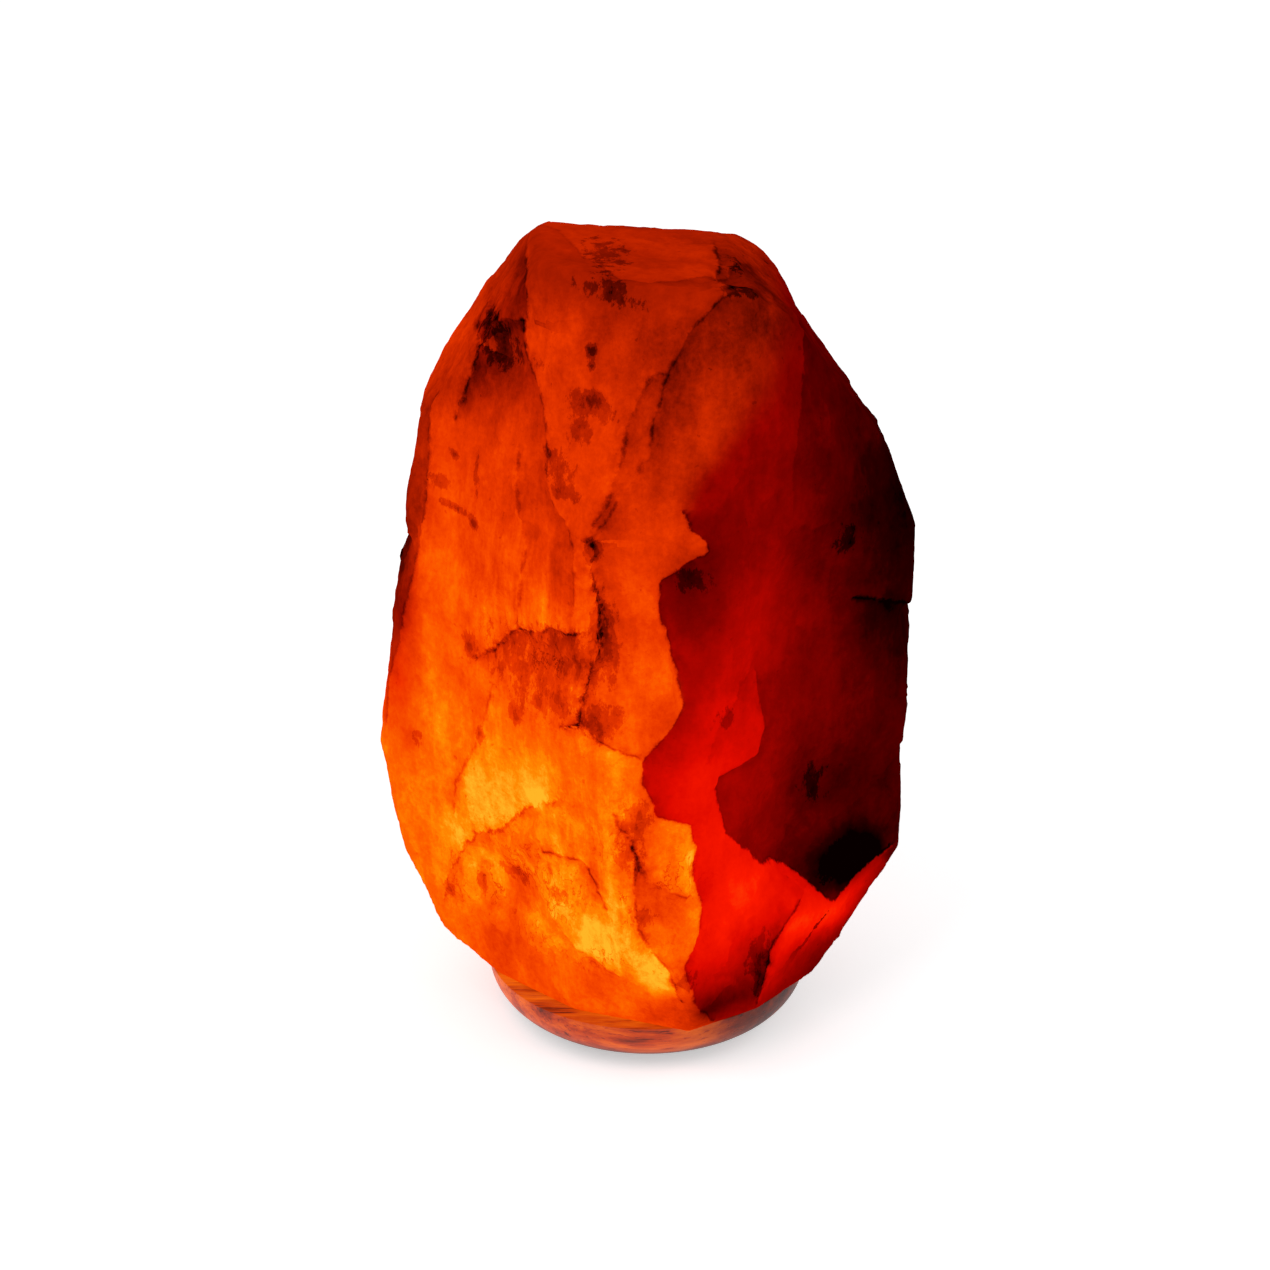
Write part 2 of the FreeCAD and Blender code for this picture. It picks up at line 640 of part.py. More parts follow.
def terminal_screws():
    """Two slotted brass screws that clamp the lead's wires."""
    screws = []
    head_top = BLOCK_Z - CLAMP_THICKNESS
    head_z = head_top - TERMINAL_HEAD_HEIGHT
    for side in (-1, 1):
        place = Vector(side * CONTACT_X, TERMINAL_Y, head_z)
        head = Part.makeCylinder(TERMINAL_HEAD_R, TERMINAL_HEAD_HEIGHT, place)
        shank_length = TERMINAL_HEAD_HEIGHT + CLAMP_THICKNESS + TERMINAL_SCREW_DEPTH
        screw = head.fuse(Part.makeCylinder(TERMINAL_SCREW_R, shank_length, place))
        slot = Part.makeBox(TERMINAL_HEAD_R * 2, SLOT_WIDTH, SLOT_DEPTH,
                            place - Vector(TERMINAL_HEAD_R, SLOT_WIDTH / 2.0, 0))
        screws.append(screw.cut(slot))
    return group(screws)


def spring_clip(side):
    """Sprung steel strip: a riveted foot, a belly on the hole's wall, a top that leans in."""
    outer = clip_belly()
    inner = clip_foot_inner()
    belly = outer - CLIP_THICKNESS
    foot = PLATE_TOP
    points = [(inner, foot + CLIP_THICKNESS),
              (belly - CLIP_THICKNESS, foot + CLIP_THICKNESS),
              (belly, foot + CLIP_BELLY_HEIGHT),
              (belly, foot + CLIP_BELLY_HEIGHT + CLIP_WIDTH / 2.0),
              (belly - CLIP_LEAN, foot + CLIP_HEIGHT)]
    clip = strip(points, -CLIP_THICKNESS, CLIP_WIDTH)
    hole = Part.makeCylinder(RIVET_R, CLIP_THICKNESS, Vector(rivet_x(), 0, foot))
    clip = clip.cut(hole)
    return turned(clip, 0 if side > 0 else 180)


def clip_rivets():
    """Two tubular rivets through the plate and the clips' feet."""
    rivets = []
    for side in (-1, 1):
        foot = Vector(side * rivet_x(), 0, PLATE_Z + PULL_DISH_DEPTH - RIVET_HEAD_HEIGHT)
        head = Part.makeCylinder(RIVET_HEAD_R, RIVET_HEAD_HEIGHT, foot)
        shank_top = PLATE_TOP + CLIP_THICKNESS
        shank = Part.makeCylinder(RIVET_R, shank_top - foot.z, foot)
        upper = Part.makeCylinder(RIVET_HEAD_R, RIVET_HEAD_HEIGHT,
                                  Vector(foot.x, 0, shank_top))
        rivets.append(head.fuse([shank, upper]).removeSplitter())
    return group(rivets)


def cord_gland():
    """Grommet in the housing's wall: a bored sleeve with a flange each side of the wall."""
    inside = CHAMBER_R - GLAND_FLANGE_THICKNESS
    outside = HOUSING_R + GLAND_FLANGE_THICKNESS
    axis = Vector(0, 1, 0)
    start = Vector(0, inside, GLAND_Z)
    sleeve = Part.makeCylinder(GLAND_R, outside - inside, start, axis)
    flanges = Part.makeCylinder(GLAND_FLANGE_R, outside - inside, start, axis)
    flanges = flanges.cut(tube(CHAMBER_R, HOUSING_R, PLATE_TOP, TERMINAL_ROOM + GLAND_R))
    gland = sleeve.fuse(flanges).removeSplitter()
    return gland.cut(Part.makeCylinder(CORD_BORE_R, outside, Vector(0, 0, GLAND_Z), axis))


# ---------------------------------------------------------------- bulb


def bulb_cap():
    """Brass screw cap: a drawn tube that closes in on the insulator."""
    inner = CAP_R - CAP_WALL
    foot = CAP_Z + CAP_WALL
    return spun(lines((CAP_MOUTH_R, CAP_Z), (CAP_R - CAP_WALL, CAP_Z), (CAP_R, foot),
                      (CAP_R, CAP_TOP), (inner, CAP_TOP), (inner, foot),
                      (CAP_MOUTH_R, foot), (CAP_MOUTH_R, CAP_Z)))


def cap_insulator():
    """Black glass cone between the cap and the tip."""
    return spun(lines((0, INSULATOR_Z), (TIP_R, INSULATOR_Z), (CAP_R - CAP_WALL, CAP_Z),
                      (CAP_MOUTH_R, CAP_Z), (CAP_MOUTH_R, CAP_Z + CAP_WALL),
                      (0, CAP_Z + CAP_WALL), (0, INSULATOR_Z)))


def tip_contact():
    """Solder button at the bulb's end."""
    button = [dome(TIP_R, INSULATOR_Z, -TIP_HEIGHT)]
    return spun(button + lines((TIP_R, INSULATOR_Z), (0, INSULATOR_Z), (0, TIP_Z)))


def glass_profile(inset):
    """Outline of the envelope, from its neck to its crown, moved in by an inset."""
    neck = NECK_R - inset
    wide = BULB_R - inset
    crown = CROWN_Z - inset
    straight = crown - wide
    edges = lines((neck, GLASS_FOOT), (neck, CAP_TOP))
    edges += swell((neck, CAP_TOP), (wide, WIDEST_Z))
    edges += lines((wide, WIDEST_Z), (wide, straight))
    edges.append(dome(wide, straight, wide))
    return edges


def bulb_glass():
    """Closed glass envelope, hollow, with its open neck in the cap."""
    outer = glass_profile(0)
    inner = glass_profile(GLASS_WALL)
    foot = lines((NECK_R - GLASS_WALL, GLASS_FOOT), (NECK_R, GLASS_FOOT))
    crown = lines((0, CROWN_Z), (0, CROWN_Z - GLASS_WALL))
    return spun(foot + outer + crown + inner[::-1])


def bulb_stem():
    """Glass stem: a flare that seals the neck, and the pinched rod above it."""
    flare_r = NECK_R - GLASS_WALL
    return spun(lines((0, GLASS_FOOT), (flare_r, GLASS_FOOT), (flare_r, GLASS_FOOT + GLASS_WALL),
                      (STEM_R, GLASS_FOOT + STEM_FLARE_HEIGHT), (STEM_R, STEM_TOP),
                      (0, STEM_TOP), (0, GLASS_FOOT)))


def lead_wires():
    """Two leads that leave the stem's top and part towards the filament's ends."""
    leads = []
    for side in (-1, 1):
        root = Vector(side * STEM_R / 2.0, 0, STEM_TOP)
        bend = Vector(side * STEM_R / 2.0, 0, STEM_TOP + LEAD_R * 2)
        end = Vector(side * LEAD_SPREAD, 0, FILAMENT_Z - FILAMENT_R)
        leads.append(rod([root, bend, end], LEAD_R))
    return group(leads)


def filament():
    """Coiled wire, drawn as one fine round bar that sags a little between the leads."""
    reach = LEAD_SPREAD - LEAD_R
    start = Vector(-reach, 0, FILAMENT_Z)
    middle = Vector(0, 0, FILAMENT_Z + FILAMENT_R * 2)
    end = Vector(reach, 0, FILAMENT_Z)
    path = Part.Wire([Part.Arc(start, middle, end).toShape()])
    tangent = path.Edges[0].tangentAt(path.Edges[0].FirstParameter)
    section = Part.Wire([Part.makeCircle(FILAMENT_R, start, tangent)])
    return path.makePipeShell([section], True, False)


def filament_supports():
    """Fine wires from the stem's top that hold up the filament's middle."""
    wires = []
    for index in range(SUPPORTS):
        x = (index + 1) * 2.0 * STEM_R / (SUPPORTS + 1) - STEM_R
        foot = Vector(x / 2.0, 0, STEM_TOP)
        height = FILAMENT_ABOVE_STEM - FILAMENT_R
        wires.append(Part.makeCylinder(SUPPORT_R, height, foot))
    return group(wires)


# ---------------------------------------------------------------- output

NODES = {
    "salt_crystal": salt_crystal,
    "wood_base": wood_base,
    "base_screws": base_screws,
    "wall_plugs": wall_plugs,
    "rubber_feet": rubber_feet,
    "cover_plate": cover_plate,
    "plate_screws": plate_screws,
    "socket_housing": socket_housing,
    "contact_block": contact_block,
    "centre_contact": centre_contact,
    "side_contact": side_contact,
    "thread_shell": thread_shell,
    "terminal_clamps": terminal_clamps,
    "terminal_screws": terminal_screws,
    "spring_clip_left": lambda: spring_clip(-1),
    "spring_clip_right": lambda: spring_clip(1),
    "clip_rivets": clip_rivets,
    "cord_gland": cord_gland,
    "bulb_cap": bulb_cap,
    "cap_insulator": cap_insulator,
    "tip_contact": tip_contact,
    "bulb_glass": bulb_glass,
    "bulb_stem": bulb_stem,
    "lead_wires": lead_wires,
    "filament": filament,
    "filament_supports": filament_supports,
}

os.makedirs("parts", exist_ok=True)
for name, build in NODES.items():
    shape = build()
    shape.exportStep("parts/" + name + ".step")
    box = shape.BoundBox
    print(f"{name:18s} solids {len(shape.Solids)} valid {shape.isValid()} "
          f"volume {shape.Volume / 1000.0:9.3f} cm3  "
          f"x {box.XMin:7.2f} {box.XMax:7.2f}  y {box.YMin:7.2f} {box.YMax:7.2f}  "
          f"z {box.ZMin:7.2f} {box.ZMax:7.2f}")
print(f"bulb rises {BULB_RISE:.2f} mm in {TURNS_TO_FREE} turns")
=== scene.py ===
import logging
import math
from dataclasses import dataclass, field
from enum import Enum

import bmesh
import bpy
import numpy as np
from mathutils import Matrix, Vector, noise
from mathutils.kdtree import KDTree


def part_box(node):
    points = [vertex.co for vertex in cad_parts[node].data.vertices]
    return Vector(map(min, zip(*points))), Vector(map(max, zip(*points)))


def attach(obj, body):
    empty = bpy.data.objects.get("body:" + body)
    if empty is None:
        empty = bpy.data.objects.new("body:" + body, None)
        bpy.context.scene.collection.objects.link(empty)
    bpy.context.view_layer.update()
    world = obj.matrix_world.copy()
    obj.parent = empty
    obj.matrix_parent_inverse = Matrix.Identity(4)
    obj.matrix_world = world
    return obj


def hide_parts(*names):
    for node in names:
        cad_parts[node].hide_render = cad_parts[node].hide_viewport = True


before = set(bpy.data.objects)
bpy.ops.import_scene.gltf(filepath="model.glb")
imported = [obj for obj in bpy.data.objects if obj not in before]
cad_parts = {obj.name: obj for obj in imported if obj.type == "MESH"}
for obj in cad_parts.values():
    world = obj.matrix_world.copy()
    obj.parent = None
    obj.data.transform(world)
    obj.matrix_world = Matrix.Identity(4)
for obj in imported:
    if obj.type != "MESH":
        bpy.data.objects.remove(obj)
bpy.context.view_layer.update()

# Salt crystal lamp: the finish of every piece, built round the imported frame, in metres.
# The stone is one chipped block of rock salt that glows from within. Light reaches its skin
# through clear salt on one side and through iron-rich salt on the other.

LOG = logging.getLogger("salt_lamp")
MM = 0.001

Colour = tuple[float, float, float]
Curve = tuple[tuple[float, float], ...]
Socket = bpy.types.NodeSocket


# ---------------------------------------------------------------- node building


def tint(red: int, green: int, blue: int) -> Colour:
    """Scene-linear colour of an eight-bit display colour.

    Args:
        red, green, blue: display values from 0 to 255.

    Returns:
        The three scene-linear values.
    """
    def linear(value: int) -> float:
        """One channel, by the display curve."""
        share = value / 255.0
        return share / 12.92 if share <= 0.04045 else ((share + 0.055) / 1.055) ** 2.4
    return linear(red), linear(green), linear(blue)


class Graph:
    """Builder of one material's nodes round a Principled shader."""

    def __init__(self, name: str) -> None:
        """Start a material.

        Args:
            name: the material's name.
        """
        self.material = bpy.data.materials.new(name)
        self.material.use_nodes = True
        self.tree = self.material.node_tree
        self.tree.nodes.clear()
        self.output = self.tree.nodes.new("ShaderNodeOutputMaterial")
        self.shader = self.node("ShaderNodeBsdfPrincipled")
        self.feed(self.output.inputs["Surface"], self.shader.outputs[0])
        self.place = self.node("ShaderNodeTexCoord").outputs["Object"]

    def node(self, kind: str, **settings: object) -> bpy.types.Node:
        """Add a node and set its properties."""
        made = self.tree.nodes.new(kind)
        for key, value in settings.items():
            setattr(made, key, value)
        return made

    def feed(self, socket: Socket, value: object) -> None:
        """Link an output to a socket, or set the socket's own value."""
        if isinstance(value, bpy.types.NodeSocket):
            self.tree.links.new(value, socket)
        elif isinstance(value, tuple) and len(value) == 3 and socket.type == "RGBA":
            socket.default_value = (*value, 1.0)
        else:
            socket.default_value = value

    def math(self, operation: str, first: object, second: object = 0.0,
             clamp: bool = False) -> Socket:
        """Math node.

        Args:
            operation: the node's operation.
            first, second: sockets or numbers.
            clamp: whether the result is held between 0 and 1.

        Returns:
            The result's socket.
        """
        made = self.node("ShaderNodeMath", operation=operation, use_clamp=clamp)
        self.feed(made.inputs[0], first)
        self.feed(made.inputs[1], second)
        return made.outputs[0]

    def total(self, *terms: tuple[object, float]) -> Socket:
        """Sum of values, each times its own weight."""
        value, weight = terms[0]
        result = self.math("MULTIPLY", value, weight)
        for value, weight in terms[1:]:
            made = self.node("ShaderNodeMath", operation="MULTIPLY_ADD")
            self.feed(made.inputs[0], value)
            self.feed(made.inputs[1], weight)
            self.feed(made.inputs[2], result)
            result = made.outputs[0]
        return result

    def span(self, value: object, low: float, high: float, start: float = 0.0,
             end: float = 1.0) -> Socket:
        """Smooth step of a value from low to high, giving start to end."""
        made = self.node("ShaderNodeMapRange", interpolation_type="SMOOTHSTEP")
        for socket, number in zip(made.inputs[:5], (value, low, high, start, end)):
            self.feed(socket, number)
        return made.outputs[0]

    def stretched(self, stretch: Colour) -> Socket:
        """Object coordinates, with each axis scaled."""
        made = self.node("ShaderNodeVectorMath", operation="MULTIPLY")
        self.feed(made.inputs[0], self.place)
        made.inputs[1].default_value = stretch
        return made.outputs[0]

    def warped(self, size: float, amount: float, stretch: Colour = (1, 1, 1)) -> Socket:
        """Object coordinates pushed about by noise.

        Args:
            size: the noise's size, in millimetres.
            amount: how far it pushes, in millimetres.
            stretch: scale of each axis before the push.

        Returns:
            The coordinates' socket.
        """
        source = self.node("ShaderNodeTexNoise", noise_dimensions="3D")
        self.feed(source.inputs["Vector"], self.stretched(stretch))
        self.feed(source.inputs["Scale"], 1.0 / (size * MM))
        self.feed(source.inputs["Detail"], 2.0)
        push = self.node("ShaderNodeVectorMath", operation="MULTIPLY_ADD")
        self.feed(push.inputs[0], source.outputs["Color"])
        push.inputs[1].default_value = (amount * MM,) * 3
        self.feed(push.inputs[2], self.stretched(stretch))
        return push.outputs[0]

    def noise(self, size: float, detail: float = 4.0, rough: float = 0.55,
              stretch: Colour = (1, 1, 1), place: Socket | None = None) -> Socket:
        """Noise from 0 to 1.

        Args:
            size: size of its largest features, in millimetres.
            detail: octaves.
            rough: strength of each finer octave.
            stretch: scale of each axis.
            place: coordinates, if not the object's own.

        Returns:
            The value's socket.
        """
        made = self.node("ShaderNodeTexNoise", noise_dimensions="3D")
        self.feed(made.inputs["Vector"], place or self.stretched(stretch))
        self.feed(made.inputs["Scale"], 1.0 / (size * MM))
        self.feed(made.inputs["Detail"], detail)
        self.feed(made.inputs["Roughness"], rough)
        return made.outputs["Fac"]

    def ramp(self, value: object, *stops: tuple[float, Colour]) -> Socket:
        """Colour ramp through stops of (place, colour)."""
        made = self.node("ShaderNodeValToRGB")
        self.feed(made.inputs[0], value)
        band = made.color_ramp.elements
        for index, (at, colour) in enumerate(stops):
            stop = band[index] if index < 2 else band.new(at)
            stop.position, stop.color = at, (*colour, 1.0)
        return made.outputs[0]

    def mix(self, share: object, first: object, second: object) -> Socket:
        """Blend of two colours."""
        made = self.node("ShaderNodeMix", data_type="RGBA")
        for socket, value in zip((made.inputs[0], made.inputs[6], made.inputs[7]),
                                 (share, first, second)):
            self.feed(socket, value)
        return made.outputs[2]

    def parts(self, name: str) -> tuple[Socket, Socket, Socket, Socket]:
        """The four values kept at each point under a name."""
        source = self.node("ShaderNodeAttribute", attribute_name=name)
        split = self.node("ShaderNodeSeparateColor")
        self.feed(split.inputs[0], source.outputs["Color"])
        return (*split.outputs, source.outputs["Alpha"])

    def relief(self, height: Socket, depth: float) -> None:
        """Bump of a depth in millimetres."""
        made = self.node("ShaderNodeBump")
        self.feed(made.inputs["Strength"], 1.0)
        self.feed(made.inputs["Distance"], depth * MM)
        self.feed(made.inputs["Height"], height)
        self.feed(self.shader.inputs["Normal"], made.outputs[0])

    def finish(self, colour: object, roughness: object, **values: object) -> bpy.types.Material:
        """Set the shader's colour, roughness and other inputs.

        Args:
            colour: base colour.
            roughness: roughness.
            values: other inputs, with _ for each space in their names.

        Returns:
            The material.
        """
        self.feed(self.shader.inputs["Base Color"], colour)
        self.feed(self.shader.inputs["Roughness"], roughness)
        for key, value in values.items():
            self.feed(self.shader.inputs[key.replace("_", " ")], value)
        return self.material


# ---------------------------------------------------------------- mesh building


def piece(name: str, points: np.ndarray, faces: list, smooth: bool = True) -> bpy.types.Object:
    """Object from points and faces.

    Args:
        name: the piece's name.
        points: rows of x, y, z in metres.
        faces: rows of point numbers.
        smooth: whether its faces are shaded smooth.

    Returns:
        The object, linked into the scene.
    """
    mesh = bpy.data.meshes.new(name)
    mesh.from_pydata([tuple(point) for point in points], [], [tuple(face) for face in faces])
    mesh.validate()
    made = bpy.data.objects.new(name, mesh)
    bpy.context.scene.collection.objects.link(made)
    if smooth:
        mesh.shade_smooth()
    return made


def soften(made: bpy.types.Object, width: float, angle: float = 30.0,
           steps: int = 3) -> bpy.types.Object:
    """Round the sharp edges of a piece by a bevel of a width in millimetres."""
    bevel = made.modifiers.new("bevel", "BEVEL")
    bevel.width, bevel.segments, bevel.limit_method = width * MM, steps, "ANGLE"
    bevel.angle_limit, bevel.use_clamp_overlap = math.radians(angle), True
    bevel.harden_normals = False
    settle(made)
    made.data.shade_smooth()
    crease(made, angle)
    return made


def settle(made: bpy.types.Object) -> None:
    """Apply a piece's modifiers to its mesh."""
    graph = bpy.context.evaluated_depsgraph_get()
    mesh = bpy.data.meshes.new_from_object(made.evaluated_get(graph))
    made.modifiers.clear()
    made.data = mesh


def crease(made: bpy.types.Object, angle: float) -> None:
    """Shade a piece smooth, with edges sharper than an angle in degrees left sharp."""
    work = bmesh.new()
    work.from_mesh(made.data)
    for edge in work.edges:
        edge.smooth = edge.calc_face_angle(0.0) < math.radians(angle)
    work.to_mesh(made.data)
    work.free()


def cut(made: bpy.types.Object, tool: bpy.types.Object) -> None:
    """Cut a tool's shape out of a piece, and delete the tool."""
    change = made.modifiers.new("cut", "BOOLEAN")
    change.operation, change.object, change.solver = "DIFFERENCE", tool, "EXACT"
    settle(made)
    bpy.data.objects.remove(tool)


def turned(name: str, profile: list[tuple[float, float]], steps: int = 96,
           centre: tuple[float, float] = (0.0, 0.0), wave=None) -> bpy.types.Object:
    """Closed ring of revolution about an upright axis.

    Args:
        name: the piece's name.
        profile: closed outline of (radius, height) in millimetres, anticlockwise.
        steps: points round the ring.
        centre: the axis, in millimetres.
        wave: function of (radius, height, angle) that gives the radius there.

    Returns:
        The object.
    """
    points, faces = [], []
    count = len(profile)
    for step in range(steps):
        angle = 2 * math.pi * step / steps
        for radius, height in profile:
            reach = wave(radius, height, angle) if wave else radius
            points.append(((centre[0] + reach * math.cos(angle)) * MM,
                           (centre[1] + reach * math.sin(angle)) * MM, height * MM))
        for index in range(count):
            after = (index + 1) % count
            here, there = step * count, (step + 1) % steps * count
            faces.append((here + index, there + index, there + after, here + after))
    made = piece(name, np.array(points), faces)
    work = bmesh.new()
    work.from_mesh(made.data)
    bmesh.ops.remove_doubles(work, verts=work.verts, dist=1e-7)
    bmesh.ops.recalc_face_normals(work, faces=work.faces)
    work.to_mesh(made.data)
    work.free()
    return made


def arc(centre: tuple[float, float], across: float, up: float, start: float, end: float,
        steps: int) -> list[tuple[float, float]]:
    """Points along an ellipse's arc, between two angles in degrees."""
    angles = np.radians(np.linspace(start, end, steps + 1))
    return [(centre[0] + across * math.cos(a), centre[1] + up * math.sin(a)) for a in angles]


def wire(name: str, path: np.ndarray, radius: float, sides: int = 10) -> bpy.types.Object:
    """Round wire along a path of points in millimetres, with closed ends."""
    ahead = np.gradient(path, axis=0)
    ahead /= np.linalg.norm(ahead, axis=1)[:, None]
    across = np.cross(ahead, (0.0, 0.0, 1.0))
    across /= np.linalg.norm(across, axis=1)[:, None]
    up = np.cross(across, ahead)
    turns = np.linspace(0, 2 * math.pi, sides, endpoint=False)
    rings = [path + radius * (across * math.cos(a) + up * math.sin(a)) for a in turns]
    points = np.stack(rings, axis=1).reshape(-1, 3) * MM
    faces = []
    for row in range(len(path) - 1):
        for side in range(sides):
            after = (side + 1) % sides
            faces.append((row * sides + side, row * sides + after,
                          (row + 1) * sides + after, (row + 1) * sides + side))
    faces.append(tuple(range(sides))[::-1])
    faces.append(tuple(range((len(path) - 1) * sides, len(path) * sides)))
    return piece(name, points, faces)


def corner(node: str, high: bool = True) -> Vector:
    """Highest or lowest corner of a CAD node, in millimetres."""
    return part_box(node)[1 if high else 0] / MM


def carry(made: bpy.types.Object, body: str, node: str,
          material: bpy.types.Material) -> bpy.types.Object:
    """Finish a new piece and put it in a node's place on a body."""
    made.data.materials.clear()
    made.data.materials.append(material)
    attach(made, body)
    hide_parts(node)
    LOG.info("%s: %d faces, for node %s", made.name, len(made.data.polygons), node)
    return made


def dress(material: bpy.types.Material, *nodes: str) -> None:
    """Give CAD nodes a material."""
    for node in nodes:
        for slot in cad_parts[node].material_slots:
            slot.material = material
        LOG.info("%s: dressed in %s", node, material.name)


# ---------------------------------------------------------------- stone


class Face(Enum):
    """Side of the stone that a mark lies on.

    Its two flat axes, its outward axis and sign, and where it starts along that axis.
    """

    FRONT = ((0, 2), 1, -1, 0.0)
    BACK = ((0, 2), 1, 1, 0.0)
    LEFT = ((1, 2), 0, -1, 0.0)
    RIGHT = ((1, 2), 0, 1, 0.0)
    TOP = ((0, 1), 2, 1, 252.0)

    def lie(self, points: np.ndarray) -> tuple[np.ndarray, np.ndarray]:
        """Flat places of points on this side, and how much each belongs to it.

        Args:
            points: rows of x, y, z in millimetres.

        Returns:
            Rows of (across, height), and a weight from 0 to 1 for each.
        """
        axes, outward, sign, start = self.value
        weight = np.clip(((points[:, outward] - start) * sign + 12.0) / 24.0, 0, 1)
        return points[:, axes], weight * weight * (3 - 2 * weight)


def follow(curve: Curve, places: np.ndarray) -> np.ndarray:
    """Values of a curve at places, by straight lines between its points."""
    at, values = zip(*curve)
    return np.interp(places, at, values)


@dataclass(frozen=True)
class Seam:
    """Line where the stone parted: each side has its own height, light and iron.

    Attributes:
        name: what the line is.
        points: its route, as (across, height) on its face, in millimetres.
        light: half the step in light at its start and end, brighter on the left of the route.
        iron: half the step in iron at its start and end, more on the right of the route.
        fade: how far the steps reach, in millimetres.
        relief: height of the ledge, in millimetres, higher on the left of the route.
        ragged: how far the line strays, in millimetres; a layer strays as its first seam.
        dark: strength of the shadow line along it.
        face: the side of the stone.
        layer: name of the mesh layer that holds it, shared with seams that lie apart from it.
    """

    name: str
    points: tuple[tuple[float, float], ...]
    light: tuple[float, float]
    iron: tuple[float, float] = (0.0, 0.0)
    fade: float = 12.0
    relief: float = 0.8
    ragged: float = 1.2
    dark: float = 0.25
    face: Face = Face.FRONT
    layer: str = "fine"

    def measure(self, points: np.ndarray) -> tuple[np.ndarray, np.ndarray, np.ndarray]:
        """Distance of points from the seam.

        Args:
            points: rows of x, y, z in millimetres.

        Returns:
            Signed distance, positive on the left of the route, the share of the way along
            it, and how much each point feels it, all one value for each point.
        """
        flat, weight = self.face.lie(points)
        route = np.array(self.points, float)
        legs = np.linalg.norm(np.diff(route, axis=0), axis=1)
        before = np.concatenate(([0.0], np.cumsum(legs)))
        best = np.full(len(flat), 1e9)
        signed, along = best.copy(), np.zeros(len(flat))
        for index, leg in enumerate(legs):
            ahead = (route[index + 1] - route[index]) / leg
            offset = flat - route[index]
            travel = np.clip(offset @ ahead, 0, leg)
            gap = offset - travel[:, None] * ahead
            distance = np.linalg.norm(gap, axis=1)
            closer = distance < best - 1e-9
            side = np.sign(ahead[0] * offset[:, 1] - ahead[1] * offset[:, 0])
            signed = np.where(closer, distance * side, signed)
            along = np.where(closer, (before[index] + travel) / before[-1], along)
            best = np.where(closer, distance, best)
        ends = np.clip(np.minimum(along, 1 - along) * before[-1] / 4.0, 0, 1)
        return signed, along, weight * np.where(best > 1.0, np.maximum(ends, 0.15), 1.0)


@dataclass(frozen=True)
class Patch:
    """Place where the salt is clearer, darker or redder than round it.

    Attributes:
        name: what is there.
        place: its middle, as (across, height) on its face, in millimetres.
        size: its half width and half height, in millimetres.
        light: change of light at its middle.
        iron: change of iron at its middle.
        face: the side of the stone.
    """

    name: str
    place: tuple[float, float]
    size: tuple[float, float]
    light: float
    iron: float = 0.0
    face: Face = Face.FRONT

    def strength(self, points: np.ndarray, sharp: float = 2.0) -> np.ndarray:
        """How much each point lies in the patch, from 0 to 1."""
        flat, weight = self.face.lie(points)
        far = np.abs((flat - self.place) / self.size)
        return weight * np.exp(-(far ** sharp).sum(axis=1))


RIDGE = Seam("ridge", ((-18, 186), (-13, 191), (-5, 203), (0, 212), (1, 220), (5, 235),
                       (11, 246), (20, 255), (28, 258), (37, 250)),
             (0.0, 0.07), (0.0, 0.12), fade=18.0, relief=0.6, ragged=0.8, dark=0.3,
             layer="ridge")
BREAK = Seam("break", ((20, 20), (14, 34), (11, 47), (15, 57), (16, 67), (13, 76), (14, 85),
                       (12, 94), (8, 96), (3, 97), (-2, 110), (-2, 116), (7, 127),
                       (10, 132), (9, 139), (5, 155), (3, 164), (3, 172), (11, 179),
                       (17, 182), (16, 186), (12, 189), (10, 194)),
             (0.03, 0.09), (0.25, 0.3), fade=15.0, relief=0.9, ragged=1.0, dark=0.2,
             layer="break")
LIP = Seam("lip", ((76, 56), (69, 54), (62, 52), (58, 47), (52, 53), (45, 60), (38, 68),
                   (34, 70), (28, 81), (23, 88), (21, 97), (19, 106), (27, 109), (32, 112),
                   (34, 119), (33, 128), (32, 137)),
           (0.3, 0.05), fade=14.0, relief=0.9, ragged=0.9, dark=0.15, layer="lip")
CRACK = Seam("crack_and_shadow_line", ((-18, 186), (-15, 186), (-17, 178), (-15, 169), (-14, 159),
                       (-14, 150), (-17, 144), (-19, 135), (-20, 128), (-24, 124)),
             (-0.09, -0.06), fade=8.0, relief=-0.8, ragged=2.0, dark=0.5,
             layer="crack_and_shadow_line")
LOW_LEDGE = Seam("low_ledge", ((-64, 40), (-63, 46), (-61, 55), (-56, 65), (-52, 72),
                               (-45, 75), (-41, 81), (-37, 88), (-31, 95), (-26, 97)),
                 (0.05, 0.07), fade=14.0, relief=-0.8, ragged=2.2, dark=0.35,
                 layer="low_ledge")
